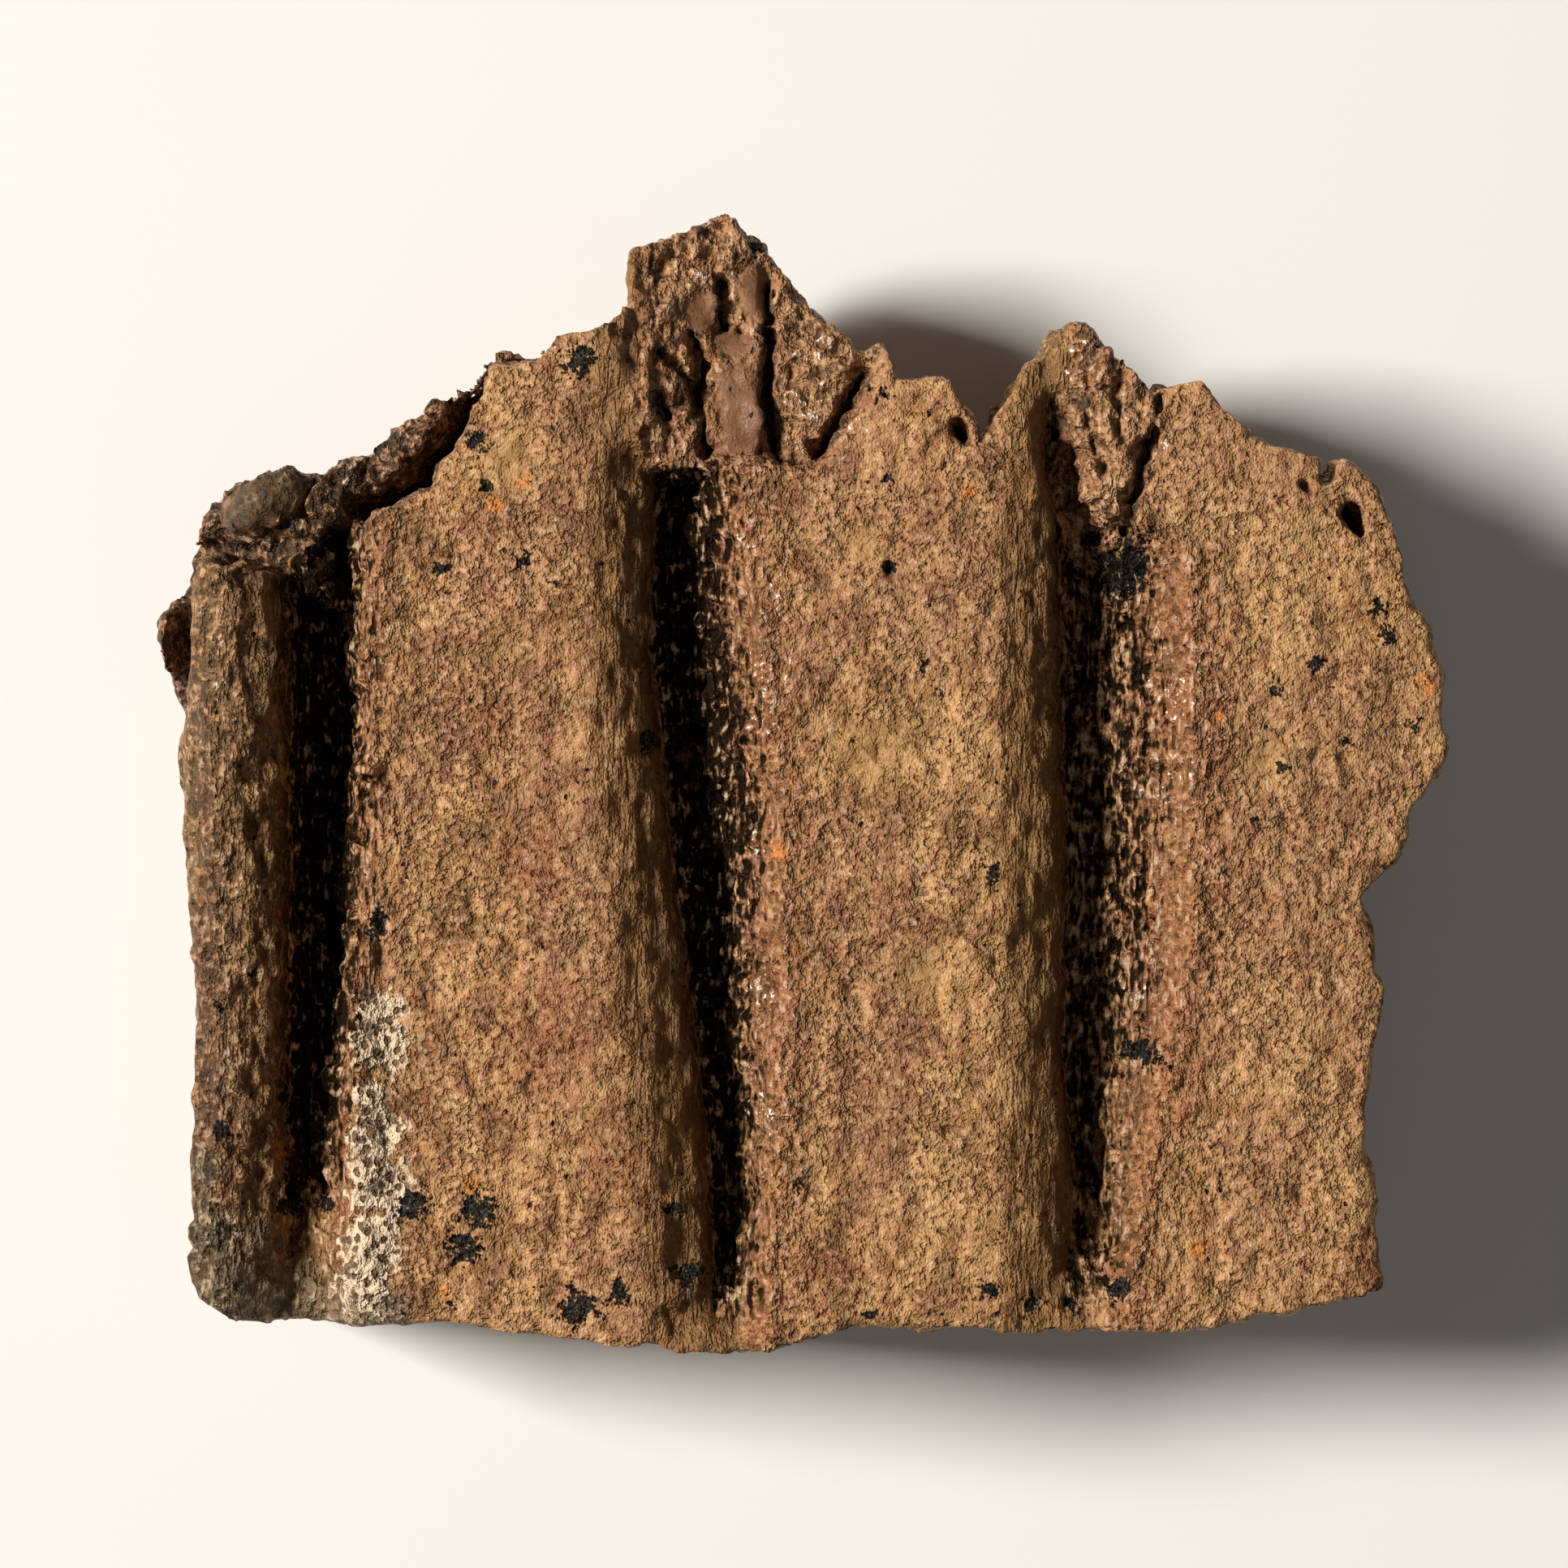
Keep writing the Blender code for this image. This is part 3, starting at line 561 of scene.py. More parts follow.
def make_field():
    """The solid as a block of numbers, below 0 inside the bone and above 0 outside."""
    top, under, edge_gap = (sheet.astype(np.float32) for sheet in make_maps())
    axes = [low + GRID_STEP * np.arange(n, dtype=np.float32) for low, n in zip(LOW_CORNER, GRID_SIZE)]
    across, down, height = np.meshgrid(*axes, indexing="ij")
    across = across + sway(41)
    down = down + sway(43)
    field = np.maximum(height - look_up(top, across, down), look_up(under, across, down) - height)
    field = np.maximum(field, look_up(edge_gap, across, down))
    for side in (0, -1):
        field[side], field[:, side], field[:, :, side] = 1.0, 1.0, 1.0
    return field


def surface(field):
    """Lays a net of quads over the zero level of the block. Returns its points and quads."""
    nx, ny, nz = (n - 1 for n in field.shape)
    inside = field < 0
    total = np.zeros((nx, ny, nz), np.uint8)
    corners = [(i, j, k) for i in (0, 1) for j in (0, 1) for k in (0, 1)]
    for i, j, k in corners:
        total += inside[i:i + nx, j:j + ny, k:k + nz]
    active = np.argwhere((total > 0) & (total < 8))
    number = np.full((nx, ny, nz), -1, np.int32)
    number[tuple(active.T)] = np.arange(len(active))
    values = {c: field[tuple((active + c).T)] for c in corners}
    place = np.zeros((len(active), 3))
    count = np.zeros(len(active))
    for start in corners:
        for side in range(3):
            if start[side]:
                continue
            end = tuple(1 if n == side else s for n, s in enumerate(start))
            crosses = (values[start] < 0) != (values[end] < 0)
            span = values[start] - values[end]
            share = np.where(crosses, values[start] / np.where(span == 0, 1, span), 0)
            point = np.array(start) + share[:, None] * (np.array(end) - np.array(start))
            place += point * crosses[:, None]
            count += crosses
    place = active + place / count[:, None]
    quads = []
    for side in range(3):
        first = [slice(1, -1)] * 3
        second = [slice(1, -1)] * 3
        first[side] = slice(0, -1)
        second[side] = slice(1, None)
        low, high = inside[tuple(first)], inside[tuple(second)]
        one, two = [n for n in range(3) if n != side]
        for leaving, flip in ((low & ~high, False), (~low & high, True)):
            cell = np.argwhere(leaving) + 1
            cell[:, side] -= 1
            ring = []
            for step_one, step_two in ((-1, -1), (0, -1), (0, 0), (-1, 0)):
                near = cell.copy()
                near[:, one] += step_one
                near[:, two] += step_two
                ring.append(number[tuple(near.T)])
            ring = np.stack(ring, 1)
            quads.append(ring[:, ::-1] if flip != (side == 1) else ring)
    return place * GRID_STEP + np.array(LOW_CORNER), np.concatenate(quads)


def main_part(points, quads):
    """Leaves out any loose crumb, so that one connected surface stays."""
    group = np.arange(len(points))
    joined = False
    while not joined:
        lowest = group[quads].min(1)
        spread = group.copy()
        for corner in range(4):
            np.minimum.at(spread, quads[:, corner], lowest)
        spread = spread[spread]
        joined = bool((spread == group).all())
        group = spread
    names, sizes = np.unique(group, return_counts=True)
    kept = group == names[np.argmax(sizes)]
    number = np.cumsum(kept) - 1
    return points[kept], number[quads[kept[quads[:, 0]]]]


def to_mesh(points, faces):
    """Makes a mesh from places across, down and up, in millimetres."""
    mesh = bpy.data.meshes.new(PIECE)
    left_to_right = (points[:, 0] - MID_ACROSS) * MM
    world = np.stack([left_to_right, (MID_DOWN - points[:, 1]) * MM, points[:, 2] * MM], 1)
    mesh.vertices.add(len(world))
    mesh.vertices.foreach_set("co", world.ravel())
    mesh.loops.add(faces.size)
    mesh.loops.foreach_set("vertex_index", faces[:, ::-1].ravel().astype(np.int32))
    mesh.polygons.add(len(faces))
    mesh.polygons.foreach_set("loop_start", np.arange(0, faces.size, faces.shape[1], dtype=np.int32))
    mesh.update()
    mesh.validate()
    return mesh


def read_mesh(mesh):
    """The places across, down and up of a mesh's points in millimetres, and its normals."""
    place = np.empty(len(mesh.vertices) * 3, np.float32)
    mesh.vertices.foreach_get("co", place)
    place = place.reshape(-1, 3) / MM
    normal = np.empty(len(mesh.vertices) * 3, np.float32)
    mesh.vertex_normals.foreach_get("vector", normal)
    return place[:, 0] + MID_ACROSS, MID_DOWN - place[:, 1], place[:, 2], normal.reshape(-1, 3)


def zones(across, down, normal):
    """How far each point belongs to each kind of surface, from 0 to 1."""
    outline_gap = outside_by(across, down, OUTLINE)
    peak_foot = ease(*PEAK_FOOT, across) * (across > 33)
    spongy = ease(-0.3, 0.3, outside_by(across, down, FRONT)) * (1.0 - 0.8 * peak_foot)
    wall, shoulder, depth, beside, crumbling_and_shade = (np.zeros(len(across)) for n in range(5))
    for groove, (shade_share, shade_edge) in zip(GROOVES, WALL_SHADES):
        left, right, share, climb = groove_sides(across, down, groove)
        brow = line_at(groove["brow"], down)
        deep_part = (share > 0.9) * ease(0.0, 2.5, line_at(groove["depth"], down))
        deep_part = deep_part * ease(82.4, 79.5, down)
        past = across - line_at(shade_edge, down)
        wall = np.maximum(wall, deep_part * ease(1.0, 0.7, climb))
        # Where the walls crumble, and how far their crumbs are painted in shade
        crumbling_and_shade = np.maximum(crumbling_and_shade, shade_share * deep_part * ease(2.4, -1.6, past))
        shoulder = np.maximum(shoulder, ease(0.1, 0.55, share) * ease(0.5, 0.0, climb))
        depth = np.maximum(depth, np.minimum(left, right))
        beside = np.maximum(beside, (climb > 0.5) * ease(brow + 4.5, brow, across))
    facing_up = ease(-0.1, 0.35, normal[:, 2])
    side = ease(0.5, 0.1, normal[:, 2]) * ease(-3.5, -0.6, outline_gap)
    under = 1.0 - ease(-0.35, 0.0, normal[:, 2])
    crumpled = ease(0.0, 0.6, bump(across, down, CRUMPLED))
    folded = np.maximum(crumpled, 0.35 * spongy * ease(36.0, 39.0, across))
    spongy = np.maximum(spongy, 0.9 * crumpled)
    strip = ease(*BARK_STRIP[0], across) * ease(*BARK_STRIP[1], across)
    bark = np.maximum(ease(*BARK_END, across), strip)
    front = (1.0 - spongy) * facing_up
    smooth = np.zeros(len(across))
    for dome in [TONGUE, SMOOTH_CHIP, *UPPER_CHIPS]:
        rim = 0.1 if dome is SMOOTH_CHIP else 0.25
        worn = ease(rim, rim + 0.6, bump(across, down, dome) + 0.3 * grain(across, down, 0.9, 1.3, 33))
        smooth = np.maximum(smooth, (0.7 if dome is SMOOTH_CHIP else 0.85) * worn)
    return {
        "spongy": spongy, "wall": wall * front, "shoulder": shoulder * front, "depth": depth * front,
        "side": side, "under": under, "bark": bark * front, "beside": beside * front,
        "smooth": smooth * spongy * facing_up, "crumbling_and_shade": crumbling_and_shade * front,
        "folded": folded * facing_up * (1.0 - smooth),
    }


def folds(across, down):
    """The creases of the crumpled bone: 0 along a crease, and more between the creases."""
    return np.abs(grain(across, down, 1.7, 1.7, 69))


def relief(across, down, up, zone):
    """How far the fine relief moves each point along its normal, in millimetres."""
    fibre = fractal(across / 0.85, down / 1.1, up / 0.9, 2, 51)
    coarse_fibre = fractal(across / 0.95, down / 4.2, up / 1.6, 3, 57)
    lumps = fractal(across / 1.5, down / 1.7, up / 1.5, 3, 61)
    creases = np.abs(fractal(across / 0.95, down / 1.9, up / 1.0, 2, 65))
    gap, owner = cells(across / 1.5, down / 2.3, up / 1.6, 71)
    pits = (1.0 - ease(0.1, 0.34, gap)) * (owner > 0.6)
    hole_gap, hole_owner = cells(across / 1.1, down / 1.5, up / 1.2, 83)
    holes = (1.0 - ease(0.18, 0.5, hole_gap)) * (hole_owner > 0.35)
    above = 1.0 - zone["under"]
    broken_side = zone["side"] * (0.4 + 0.5 * ease(22.0, 17.0, up)) * above
    rough = np.maximum(zone["spongy"] * above * (1.0 - 0.6 * zone["side"]), broken_side)
    crest = (1.0 - zone["spongy"]) * (1.0 - zone["wall"]) * (1.0 - zone["side"]) * above
    amount = crest * (0.09 * fibre + 0.21 * lumps + 0.04 * coarse_fibre - 0.3 * pits)
    barky = np.maximum(zone["bark"], 0.5 * zone["shoulder"])
    amount += crest * barky * (0.24 * coarse_fibre + 0.55 * creases)
    amount += zone["wall"] * (0.35 * coarse_fibre + 0.3 * fibre + 0.2 * lumps - 0.5 * holes)
    amount += np.maximum(zone["crumbling_and_shade"], 0.25 * zone["beside"]) * 1.2 * (creases - 0.3)
    amount += rough * (0.3 * lumps + 0.1 * coarse_fibre - 0.5 * holes + 0.6 * (creases - 0.3))
    amount += zone["folded"] * 1.5 * (np.minimum(folds(across, down), 0.45) - 0.25)
    amount += zone["under"] * (1 - zone["side"]) * (0.12 * lumps - 0.15 * pits)
    corner = ease(*CALM_CORNER[0], down) * ease(*CALM_CORNER[1], across)
    calm = np.maximum(corner, come_in(CALM_END, across))
    return amount * (1.0 - 0.9 * zone["smooth"]) * (1.0 - 0.65 * calm)


def spots(across, down, marks, ragged):
    """How near each point is to a list of round marks: 1 in a mark's middle and 0 at its ragged rim."""
    share = np.zeros(len(across))
    for at_across, at_down, radius in marks:
        gap = np.hypot(across - at_across, down - at_down) / radius
        share = np.maximum(share, 1.0 - gap * 0.5)
    return unit(share + ragged * fractal(across / 0.9, down / 0.9, across * 0 + 3.3, 3, 97))


def activate(obj):
    bpy.ops.object.select_all(action="DESELECT")
    obj.select_set(True)
    bpy.context.view_layer.objects.active = obj


def make_bone():
    """The finished surface of the bone, with its marks stored on the mesh."""
    mesh = to_mesh(*main_part(*surface(make_field())))
    across, down, up, normal = read_mesh(mesh)
    moved = relief(across, down, up, zones(across, down, normal))
    moved = np.where(up < NEAR_REST, np.minimum(moved, 0.0), moved)
    place = np.stack([across - MID_ACROSS, MID_DOWN - down, up], 1) + normal * moved[:, None]
    place[:, 2] = np.maximum(place[:, 2], 0.0)
    mesh.vertices.foreach_set("co", (place * MM).astype(np.float32).ravel())
    mesh.update()
    bone = bpy.data.objects.new(PIECE, mesh)
    bpy.context.scene.collection.objects.link(bone)
    activate(bone)
    fewer = bone.modifiers.new("fewer_faces", "DECIMATE")
    fewer.ratio = min(1.0, TRIANGLES / (2 * len(mesh.polygons)))
    bpy.ops.object.modifier_apply(modifier=fewer.name)
    mark(bone.data)
    bone.data.shade_smooth()
    return bone


def kind_masks(across, down, zone, on_face, crust):
    """The masks that follow from the kinds of surface."""
    rough = np.maximum.reduce([zone["spongy"], 0.7 * zone["side"], zone["wall"], 0.7 * zone["bark"]])
    crusted = 0.9 * ease(0.2, 0.6, crust)
    rough = np.maximum.reduce([rough, 0.8 * zone["beside"], zone["crumbling_and_shade"], crusted])
    shallow = 0.65 * ease(67.0, 75.0, down) * (across < 24.0)
    glinting = np.maximum(spots(across, down, GLINTS, 0.3) - 0.4, 0.0) * (1.0 - zone["smooth"])
    # Painted shade over the inner mass and the left end
    dim = np.maximum(zone["spongy"] * ease(*DIM_INNER, across), come_in(DIM_END, across))
    # Painted shade along the creases of the folded bone and along every crack
    crack_shade = zone["folded"] * ease(0.11, 0.02, folds(across, down))
    for line, half_width, depth in FRONT_CRACKS + PEAK_CRACKS:
        gap = line_gap(across, down, line) / (half_width + 0.1)
        crack_shade = np.maximum(crack_shade, 1.0 - ease(0.5, 1.1, gap))
    return {
        "rough": rough * (1.0 - zone["smooth"]) * (1.0 - 0.7 * zone["under"]),
        "depth": unit(zone["depth"] / 6.5) * (1.0 - shallow),
        "glinting": glinting * on_face,
        "dim": dim * (0.4 + 0.6 * on_face),
        "crack_shade": crack_shade * on_face,
        "streaky": np.maximum(0.8 * zone["bark"], np.maximum(zone["shoulder"], zone["wall"])),
    }


def mark(mesh):
    """Stores where the marks and the kinds of surface are."""
    across, down, up, normal = read_mesh(mesh)
    zone = zones(across, down, normal)
    on_face = ease(0.0, 0.4, normal[:, 2])
    masks = {name: zone[name] for name in ("spongy", "crumbling_and_shade", "shoulder", "beside", "smooth")}
    masks["face"] = on_face
    for name, (ragged, marks) in SPOTS.items():
        masks[name] = spots(across, down, marks, ragged) * on_face
    masks.update(kind_masks(across, down, zone, on_face, masks["crust"]))
    paler = 0.03 + come_in(MIDDLE_PALER, across) + come_in(RIGHT_PALER, across)
    masks["patchy"] = 0.5 + paler + 0.7 * fractal(across / 1.3, down / 1.9, up / 1.5, 3, 101)
    masks["broad"] = 0.5 + 0.5 * fractal(across / 6.0, down / 9.0, up / 6.0, 3, 103)
    masks["pitted"] = 0.5 + 0.5 * fractal(across / 2.6, down / 4.0, up / 2.6, 3, 107)
    for name, values in masks.items():
        mask = mesh.attributes.new(name, "FLOAT", "POINT")
        mask.data.foreach_set("value", np.asarray(values, np.float32))


class Shader:
    """A node tree with short ways to add and join its nodes."""

    def __init__(self, name):
        self.material = bpy.data.materials.new(name)
        self.material.use_nodes = True
        self.tree = self.material.node_tree
        self.out = self.tree.nodes["Principled BSDF"]

    def add(self, kind, **values):
        node = self.tree.nodes.new("ShaderNode" + kind)
        for name, value in values.items():
            setattr(node, name, value)
        return node

    def feed(self, socket, source):
        """Joins a source to a socket, or sets the socket if the source is a plain value."""
        if isinstance(source, bpy.types.NodeSocket):
            self.tree.links.new(source, socket)
        else:
            socket.default_value = source

    def math(self, operation, first, second=0.5):
        node = self.add("Math", operation=operation)
        self.feed(node.inputs[0], first)
        self.feed(node.inputs[1], second)
        return node.outputs[0]

    def times(self, first, second):
        return self.math("MULTIPLY", first, second)

    def plus(self, first, second):
        return self.math("ADD", first, second)

    def minus(self, first, second):
        return self.math("SUBTRACT", first, second)

    def larger(self, first, second):
        return self.math("MAXIMUM", first, second)

    def step(self, source, low, high, to_low=0.0, to_high=1.0):
        """A smooth step of the source."""
        node = self.add("MapRange", interpolation_type="SMOOTHSTEP")
        names = ("Value", "From Min", "From Max", "To Min", "To Max")
        for name, value in zip(names, (source, low, high, to_low, to_high)):
            self.feed(node.inputs[name], value)
        return node.outputs["Result"]

    def mix(self, share, first, second):
        node = self.add("Mix", data_type="RGBA")
        self.feed(node.inputs["Factor"], share)
        self.feed(node.inputs[6], first)
        self.feed(node.inputs[7], second)
        return node.outputs[2]

    def lay(self, tint, share, amount=None):
        """Lays a tint over the colour so far, as thickly as the share and the amount say."""
        if amount is not None:
            share = self.times(share, amount)
        self.colour = self.mix(share, self.colour, tint)

    def mask(self, name):
        return self.add("Attribute", attribute_name=name).outputs["Fac"]

    def place(self, *sizes):
        """Object coordinates counted in lumps of the given sizes, in millimetres."""
        node = self.add("Mapping")
        self.feed(node.inputs["Vector"], self.coordinates())
        node.inputs["Scale"].default_value = [1.0 / (size * MM) for size in sizes]
        return node.outputs["Vector"]

    def coordinates(self):
        if "Texture Coordinate" not in self.tree.nodes:
            self.add("TexCoord")
        return self.tree.nodes["Texture Coordinate"].outputs["Object"]

    def noise(self, *sizes, detail=2.0, roughness=0.55):
        node = self.add("TexNoise")
        self.feed(node.inputs["Vector"], self.place(*sizes))
        node.inputs["Scale"].default_value = 1.0
        node.inputs["Detail"].default_value = detail
        node.inputs["Roughness"].default_value = roughness
        return node.outputs["Fac"]

    def cells(self, *sizes):
        node = self.add("TexVoronoi", voronoi_dimensions="2D")
        self.feed(node.inputs["Vector"], self.place(*sizes))
        node.inputs["Scale"].default_value = 1.0
        return node

    def ramp(self, source, stops):
        node = self.add("ValToRGB")
        self.feed(node.inputs["Fac"], source)
        band = node.color_ramp
        for position, colour in stops[:-2]:
            band.elements.new(position)
        for element, (position, colour) in zip(band.elements, stops):
            element.position = position
            element.color = colour
        return node.outputs["Color"]


BROWN = (0.185, 0.078, 0.024, 1.0)
TAN = (0.378, 0.174, 0.057, 1.0)
LIGHT_TAN = (0.530, 0.285, 0.114, 1.0)
RUST = (0.240, 0.070, 0.024, 1.0)
SAND = (0.450, 0.255, 0.085, 1.0)
MAUVE = (0.300, 0.126, 0.062, 1.0)
OLIVE = (0.190, 0.094, 0.018, 1.0)
LEATHER = (0.120, 0.052, 0.024, 1.0)
GLINT = (0.850, 0.780, 0.680, 1.0)
CREAM_BONE = (0.720, 0.550, 0.370, 1.0)
# Painted highlight on the raised grains and ribs
GRAIN_HIGHLIGHT = (0.720, 0.520, 0.330, 1.0)
CRUST_GREY = (0.190, 0.142, 0.080, 1.0)
FLECK = (0.560, 0.190, 0.035, 1.0)
MINERAL = (0.002, 0.003, 0.003, 1.0)
MINERAL_GRAIN = (0.032, 0.044, 0.046, 1.0)
# Dark earth and painted shade for the pits, seams and low spots
EARTH_AND_SHADE = (0.050, 0.020, 0.008, 1.0)
PORE_EARTH = (0.080, 0.036, 0.016, 1.0)
# Painted shade: the near-black of cracks, groove walls, groove depths and the left end
SHADOW_BLACK = (0.009, 0.005, 0.002, 1.0)


class BoneShader(Shader):
    """The bone's shader, with the noises and masks that the layers of its look share."""

    def __init__(self):
        super().__init__("fossil_bone")
        self.pitting = self.noise(0.47, 0.48, 0.5, roughness=0.66)
        self.crumb = self.noise(0.95, 0.95, 0.9, detail=1.0, roughness=0.6)
        self.weave = self.noise(1.0, 2.6, 1.2, detail=1.0, roughness=0.6)
        self.fibre = self.noise(0.34, 1.3, 0.6, detail=1.0, roughness=0.6)
        self.strand = self.noise(0.50, 3.6, 0.9, detail=1.0, roughness=0.6)
        self.grit = self.noise(0.13, 0.17, 0.14, detail=0.0)
        pore = self.cells(0.72, 0.84, 0.72)
        self.pore_number = pore.outputs["Color"]
        self.pore_gap = self.plus(pore.outputs["Distance"], self.times(self.pitting, 0.8))
        self.patchy, self.rough = self.mask("patchy"), self.mask("rough")
        self.colour = self.ramp(self.patchy, [(0.18, BROWN), (0.46, TAN), (0.80, LIGHT_TAN)])
        not_yellow = self.step(self.mask("yellow"), 0.45, 0.95, 1.0, 0.4)
        self.bare = self.times(self.minus(1.0, self.mask("smooth")), not_yellow)
        self.lumpy = self.plus(self.pitting, self.crumb)
        slivers = self.plus(self.times(self.crumb, 0.7), self.times(self.fibre, 0.9))
        self.slivers = self.plus(slivers, self.times(self.pitting, 0.4))
        # How far the crumbs stand out of the painted wall shade, and where that shade lies
        self.standing = self.minus(self.slivers, self.times(self.mask("crumbling_and_shade"), 0.29))
        self.in_wall = self.step(self.mask("crumbling_and_shade"), 0.02, 0.2)


def lay_ground(s):
    """Mauve, sandy, rusty, lighter and crusted places over the bone's brown to light tan; some lighter
    places are painted highlights, and the shoulders get an olive tone with painted shade.
    """
    broad = s.mask("broad")
    s.lay(MAUVE, s.step(broad, 0.42, 0.75, 0.0, 0.45))
    s.lay(SAND, s.step(broad, 0.42, 0.15, 0.0, 0.2))
    s.lay(MAUVE, s.step(s.crumb, 0.50, 0.64, 0.0, 0.6))
    s.lay(LIGHT_TAN, s.step(s.crumb, 0.48, 0.34, 0.0, 0.6))
    s.lay(SAND, s.step(s.mask("yellow"), 0.25, 0.9, 0.0, 0.5))
    # Lighter patches, and painted highlights at the first ridge's left edge
    s.lay(LIGHT_TAN, s.step(s.mask("pale_and_highlight"), 0.3, 0.9, 0.0, 0.5))
    rusty = s.larger(s.mask("rusty"), s.times(s.mask("beside"), 0.7))
    rusty = s.plus(rusty, s.plus(s.times(s.patchy, 0.5), s.times(s.crumb, 0.6)))
    s.lay(RUST, s.step(rusty, 0.8, 1.5, 0.0, 0.65))
    # Olive tone and painted shade on the shoulders, which fall away from the light
    s.lay(OLIVE, s.mask("shoulder"), 0.6)
    crusted = s.plus(s.mask("crust"), s.times(s.lumpy, 0.5))
    s.lay(CRUST_GREY, s.step(crusted, 0.85, 1.15, 0.0, 0.75))
    s.lay(MAUVE, s.mask("spongy"), 0.3)


def find_hollows(s):
    """Where the pits, seams and lines between fibres lie, and where the deeper cracks do."""
    pits = s.step(s.plus(s.pitting, s.times(s.mask("pitted"), 0.14)), 0.56, 0.39)
    lines = s.larger(s.step(s.fibre, 0.54, 0.38, 0.0, 0.7), s.step(s.strand, 0.50, 0.38))
    lines = s.times(lines, s.times(s.mask("streaky"), s.step(s.mask("cream"), 0.6, 0.2)))
    seams = s.step(s.math("ABSOLUTE", s.minus(s.weave, 0.5)), 0.030, 0.004)
    seams = s.times(seams, s.step(s.plus(s.patchy, s.crumb), 1.06, 0.94, 0.0, 0.3))
    hollows = s.times(s.larger(s.larger(pits, seams), lines), s.bare)
    cracks = s.times(s.times(s.step(s.slivers, 0.92, 0.76), s.rough), s.bare)
    return hollows, cracks


def lay_relief_shade_and_highlights(s, hollows, cracks):
    """Dark earth and painted shade in the hollows, painted shade in the low spots and cracks, and painted
    highlights on the raised grains and ribs.
    """
    # Dark earth and painted shade in the pits, seams and lines between fibres
    s.lay(EARTH_AND_SHADE, hollows, 0.42)
    # Painted shade in the low spots
    s.lay(EARTH_AND_SHADE, s.step(s.crumb, 0.52, 0.30, 0.0, 0.3))
    # Painted shade in the cracks of the rough bone
    s.lay(SHADOW_BLACK, cracks, 0.60)
    open_face = s.minus(s.bare, s.times(s.mask("shoulder"), 0.7))
    grains = s.times(s.step(s.pitting, 0.54, 0.70), open_face)
    ribs = s.times(s.times(s.step(s.slivers, 1.06, 1.26), s.rough), s.bare)
    # Painted highlights on the raised grains and ribs
    s.lay(GRAIN_HIGHLIGHT, s.larger(s.times(grains, 0.30), s.times(ribs, 0.55)))


def lay_chips_glints_and_crack_shade(s):
    """The smooth chips, the painted glints beside the grooves and the painted shade of the long cracks."""
    s.lay(s.mix(s.times(s.mask("dim"), 0.6), LEATHER, CRUST_GREY), s.mask("smooth"), 0.8)
    sparkling = s.plus(s.plus(s.pitting, s.times(s.grit, 0.3)), -0.78)
    # Painted highlights: tiny white glints
    s.lay(GLINT, s.step(s.times(sparkling, s.mask("glinting")), 0.0, 0.02))
    # Painted shade along the cracks and creases
    s.lay(SHADOW_BLACK, s.mask("crack_shade"), 0.85)


def lay_crevice_shade(s):
    """Painted shade: the black between the crumbs of the grooves' walls."""
    crevice_shade = s.times(s.step(s.standing, 0.94, 0.73), s.in_wall)
    s.lay(SHADOW_BLACK, crevice_shade, 0.93)
    return crevice_shade


def lay_cream_bone(s):
    """Patches of cream bone with dark pores. Returns where the pores are."""
    cream = s.step(s.plus(s.mask("cream"), s.times(s.lumpy, 0.6)), 0.95, 1.12)
    near_pore = s.step(s.plus(s.pore_gap, s.times(s.pore_number, 0.3)), 0.94, 0.74)
    pores = s.times(near_pore, cream)
    s.lay(CREAM_BONE, cream, 0.85)
    s.lay(PORE_EARTH, pores, 0.85)
    return pores


def lay_minerals(s):
    """Orange flecks and black mineral. Returns all of the black and its small specks."""
    flecks = s.step(s.plus(s.mask("orange"), s.times(s.pitting, 0.9)), 0.98, 1.16)
    s.lay(FLECK, flecks, 0.7)
    specks = s.step(s.plus(s.pore_gap, s.times(s.pore_number, 0.9)), 0.62, 0.54)
    specks = s.times(specks, s.mask("face"))
    broken = s.plus(s.times(s.pitting, 1.1), s.times(s.grit, 0.35))
    dark = s.step(s.minus(s.times(s.mask("manganese"), 0.85), broken), -0.29, -0.16)
    dark = s.larger(dark, specks)
    s.lay(s.mix(s.step(s.grit, 0.50, 0.64, 0.0, 0.9), MINERAL, MINERAL_GRAIN), dark, 0.95)
    return dark, specks


def lay_shade(s):
    """The dark of the grooves and of the left end. Returns the grooves' shade."""
    lit = s.times(s.step(s.standing, 0.75, 0.99, 0.0, 0.85), s.in_wall)
    shade = s.times(s.step(s.mask("depth"), 0.04, 0.78, 0.0, 0.8), s.minus(1.0, lit))
    s.lay(SHADOW_BLACK, shade)
    even = s.plus(s.times(s.minus(s.lumpy, 1.06), s.bare), 1.06)
    s.lay(SHADOW_BLACK, s.times(s.mask("dim"), s.step(even, 0.98, 1.18, 0.84, 0.25)))
    return shade


def set_bump(s, hollows, cracks, dots):
    """The finest relief, too small for the mesh, counted in millimetres."""
    height = s.times(s.larger(hollows, s.times(cracks, 1.3)), -0.15)
    coarse = s.plus(s.times(s.rough, 0.24), 0.12)
    height = s.plus(height, s.times(s.times(s.pitting, s.bare), coarse))
    height = s.plus(height, s.times(s.times(s.grit, s.bare), 0.10))
    emboss = s.plus(s.times(s.rough, 0.45), 0.42)
    height = s.plus(height, s.times(s.crumb, s.times(emboss, s.bare)))
    height = s.minus(height, s.times(dots, 0.24))
    carved = s.add("Bump")
    carved.inputs["Strength"].default_value = 1.0
    carved.inputs["Distance"].default_value = MM
    s.feed(carved.inputs["Height"], height)
    s.feed(s.out.inputs["Normal"], carved.outputs["Normal"])


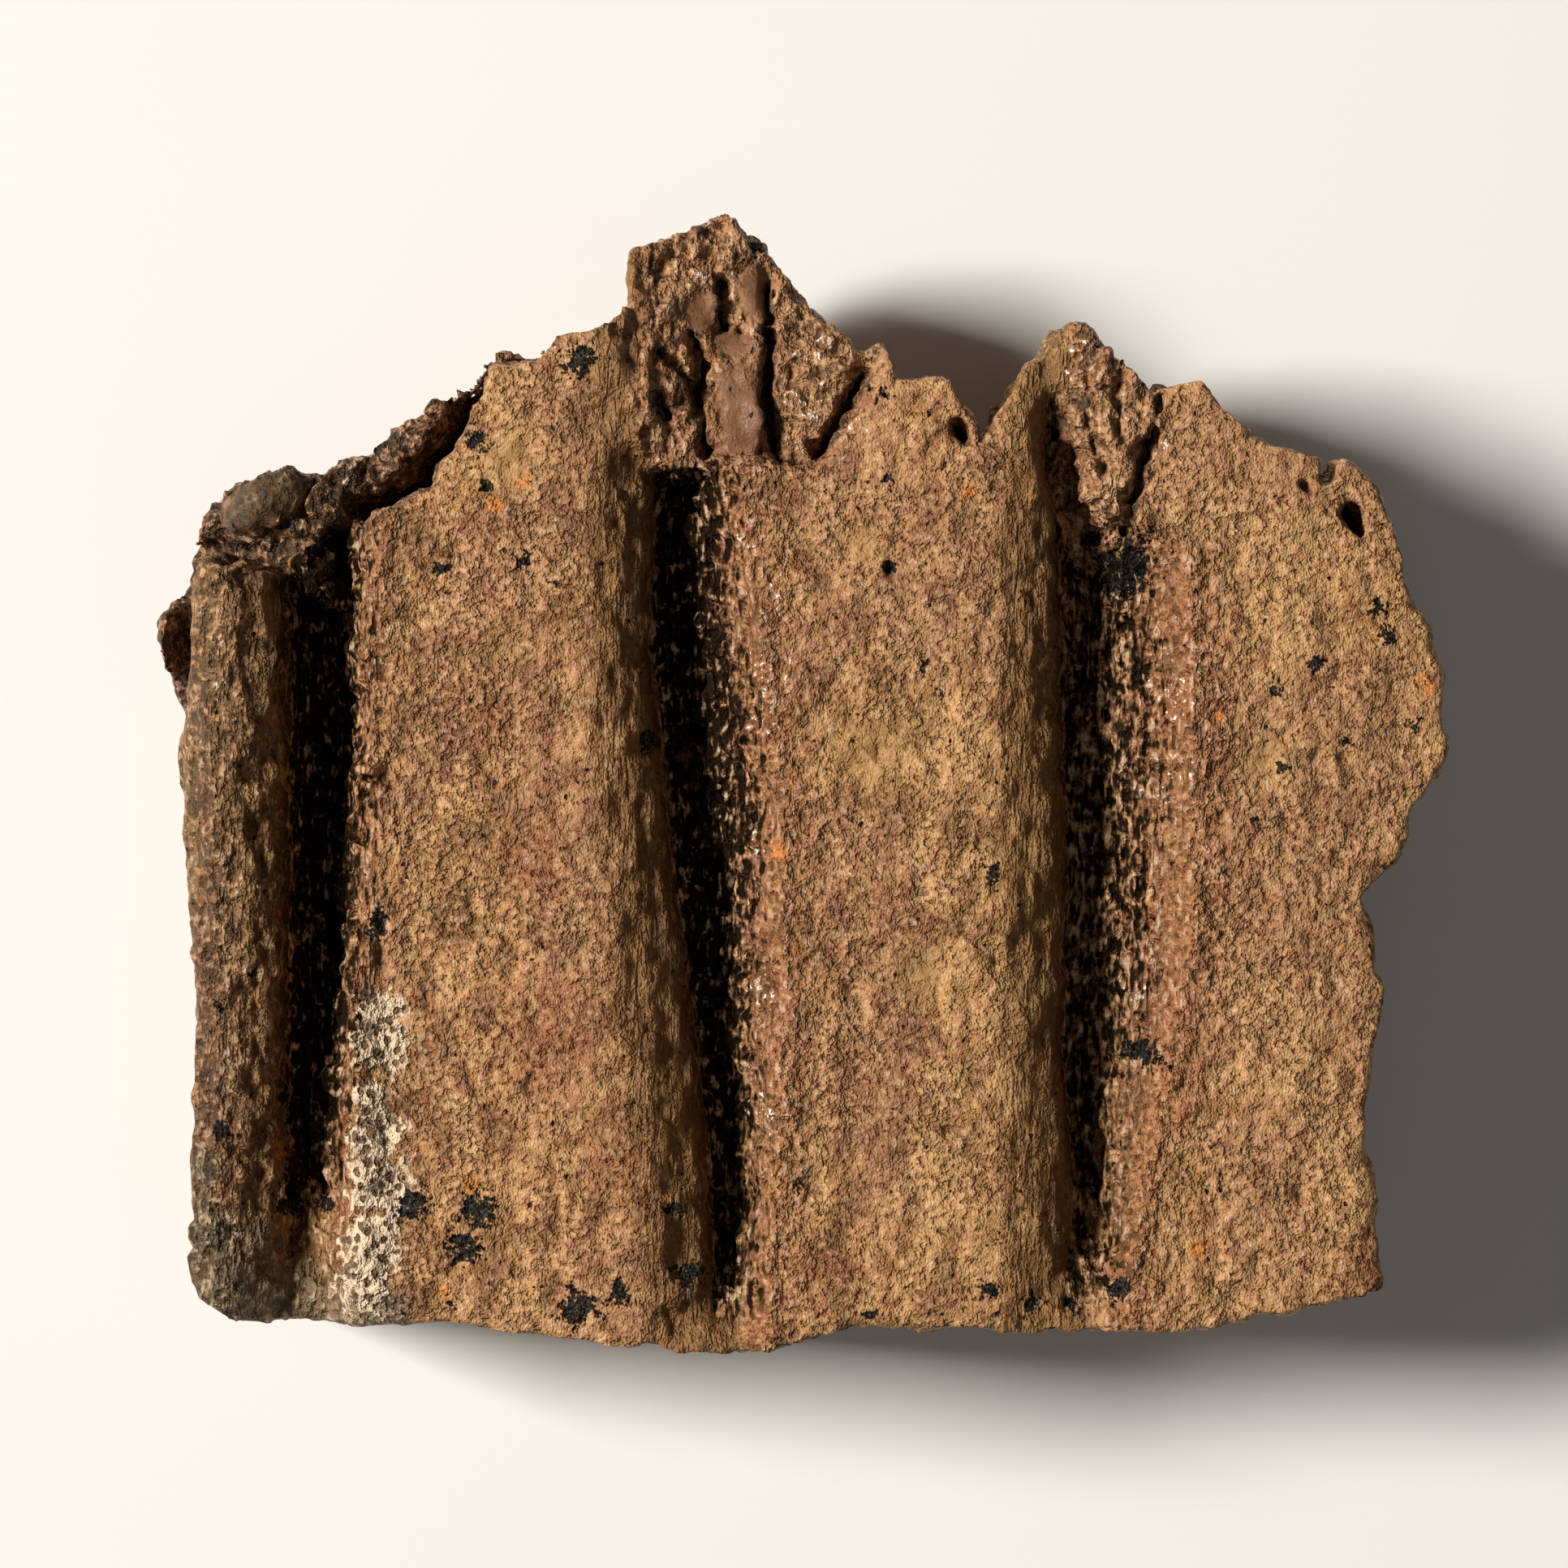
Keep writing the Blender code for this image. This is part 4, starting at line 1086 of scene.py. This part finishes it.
def bone_material():
    s = BoneShader()
    lay_ground(s)
    hollows, cracks = find_hollows(s)
    lay_relief_shade_and_highlights(s, hollows, cracks)
    lay_chips_glints_and_crack_shade(s)
    crevice_shade = lay_crevice_shade(s)
    pores = lay_cream_bone(s)
    dark, specks = lay_minerals(s)
    shade = lay_shade(s)
    s.feed(s.out.inputs["Base Color"], s.colour)
    s.feed(s.out.inputs["Roughness"], s.step(s.grit, 0.35, 0.65, 0.45, 0.75))
    matte = s.larger(s.larger(crevice_shade, dark), s.larger(shade, pores))
    s.feed(s.out.inputs["Specular IOR Level"], s.step(matte, 0.0, 1.0, 0.30, 0.04))
    set_bump(s, hollows, cracks, s.larger(pores, specks))
    return s.material


def floor_material():
    s = Shader("pale_floor")
    s.out.inputs["Base Color"].default_value = FLOOR_COLOUR
    s.out.inputs["Roughness"].default_value = FLOOR_ROUGHNESS
    return s.material


def make_floor():
    bpy.ops.mesh.primitive_plane_add(size=FLOOR_WIDTH, location=(0.0, 0.0, 0.0))
    floor = bpy.context.object
    floor.name = "floor"
    floor.data.materials.append(floor_material())


def make_camera():
    data = bpy.data.cameras.new("camera")
    data.sensor_width = SENSOR_WIDTH
    data.lens = data.sensor_width * VIEW_HEIGHT / FRAME_WIDTH
    data.clip_start = NEAREST_VIEW
    camera = bpy.data.objects.new("camera", data)
    sideways, forward = (VIEW_CENTRE - MID_ACROSS) * MM, (MID_DOWN - VIEW_CENTRE) * MM
    camera.location = (sideways, forward, CREST * MM + VIEW_HEIGHT)
    bpy.context.scene.collection.objects.link(camera)
    bpy.context.scene.camera = camera


def add_light(name, place, size, watts, colour):
    data = bpy.data.lights.new(name, "AREA")
    data.size = size
    data.energy = watts
    data.color = colour
    light = bpy.data.objects.new(name, data)
    light.location = place
    light.rotation_euler = (-light.location).to_track_quat("-Z", "Y").to_euler()
    bpy.context.scene.collection.objects.link(light)


def make_lights():
    for lamp in LAMPS:
        add_light(*lamp)
    world = bpy.data.worlds.new("studio")
    world.use_nodes = True
    glow = world.node_tree.nodes["Background"].inputs
    glow["Color"].default_value = STUDIO_COLOUR
    glow["Strength"].default_value = STUDIO_GLOW
    bpy.context.scene.world = world


def corners(box):
    return [list(corner) for corner in box]


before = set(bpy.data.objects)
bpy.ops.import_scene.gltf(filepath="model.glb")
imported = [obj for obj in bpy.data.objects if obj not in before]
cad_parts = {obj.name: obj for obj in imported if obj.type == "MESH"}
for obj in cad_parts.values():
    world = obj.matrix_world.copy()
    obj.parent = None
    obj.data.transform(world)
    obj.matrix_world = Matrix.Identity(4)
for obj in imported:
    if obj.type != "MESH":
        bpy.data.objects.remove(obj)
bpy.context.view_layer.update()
make_camera()
make_lights()
make_floor()
jaw = make_bone()
jaw.data.materials.append(bone_material())
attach(jaw, "root")
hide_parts("jaw_section")
bpy.context.scene.view_settings.view_transform = "Standard"
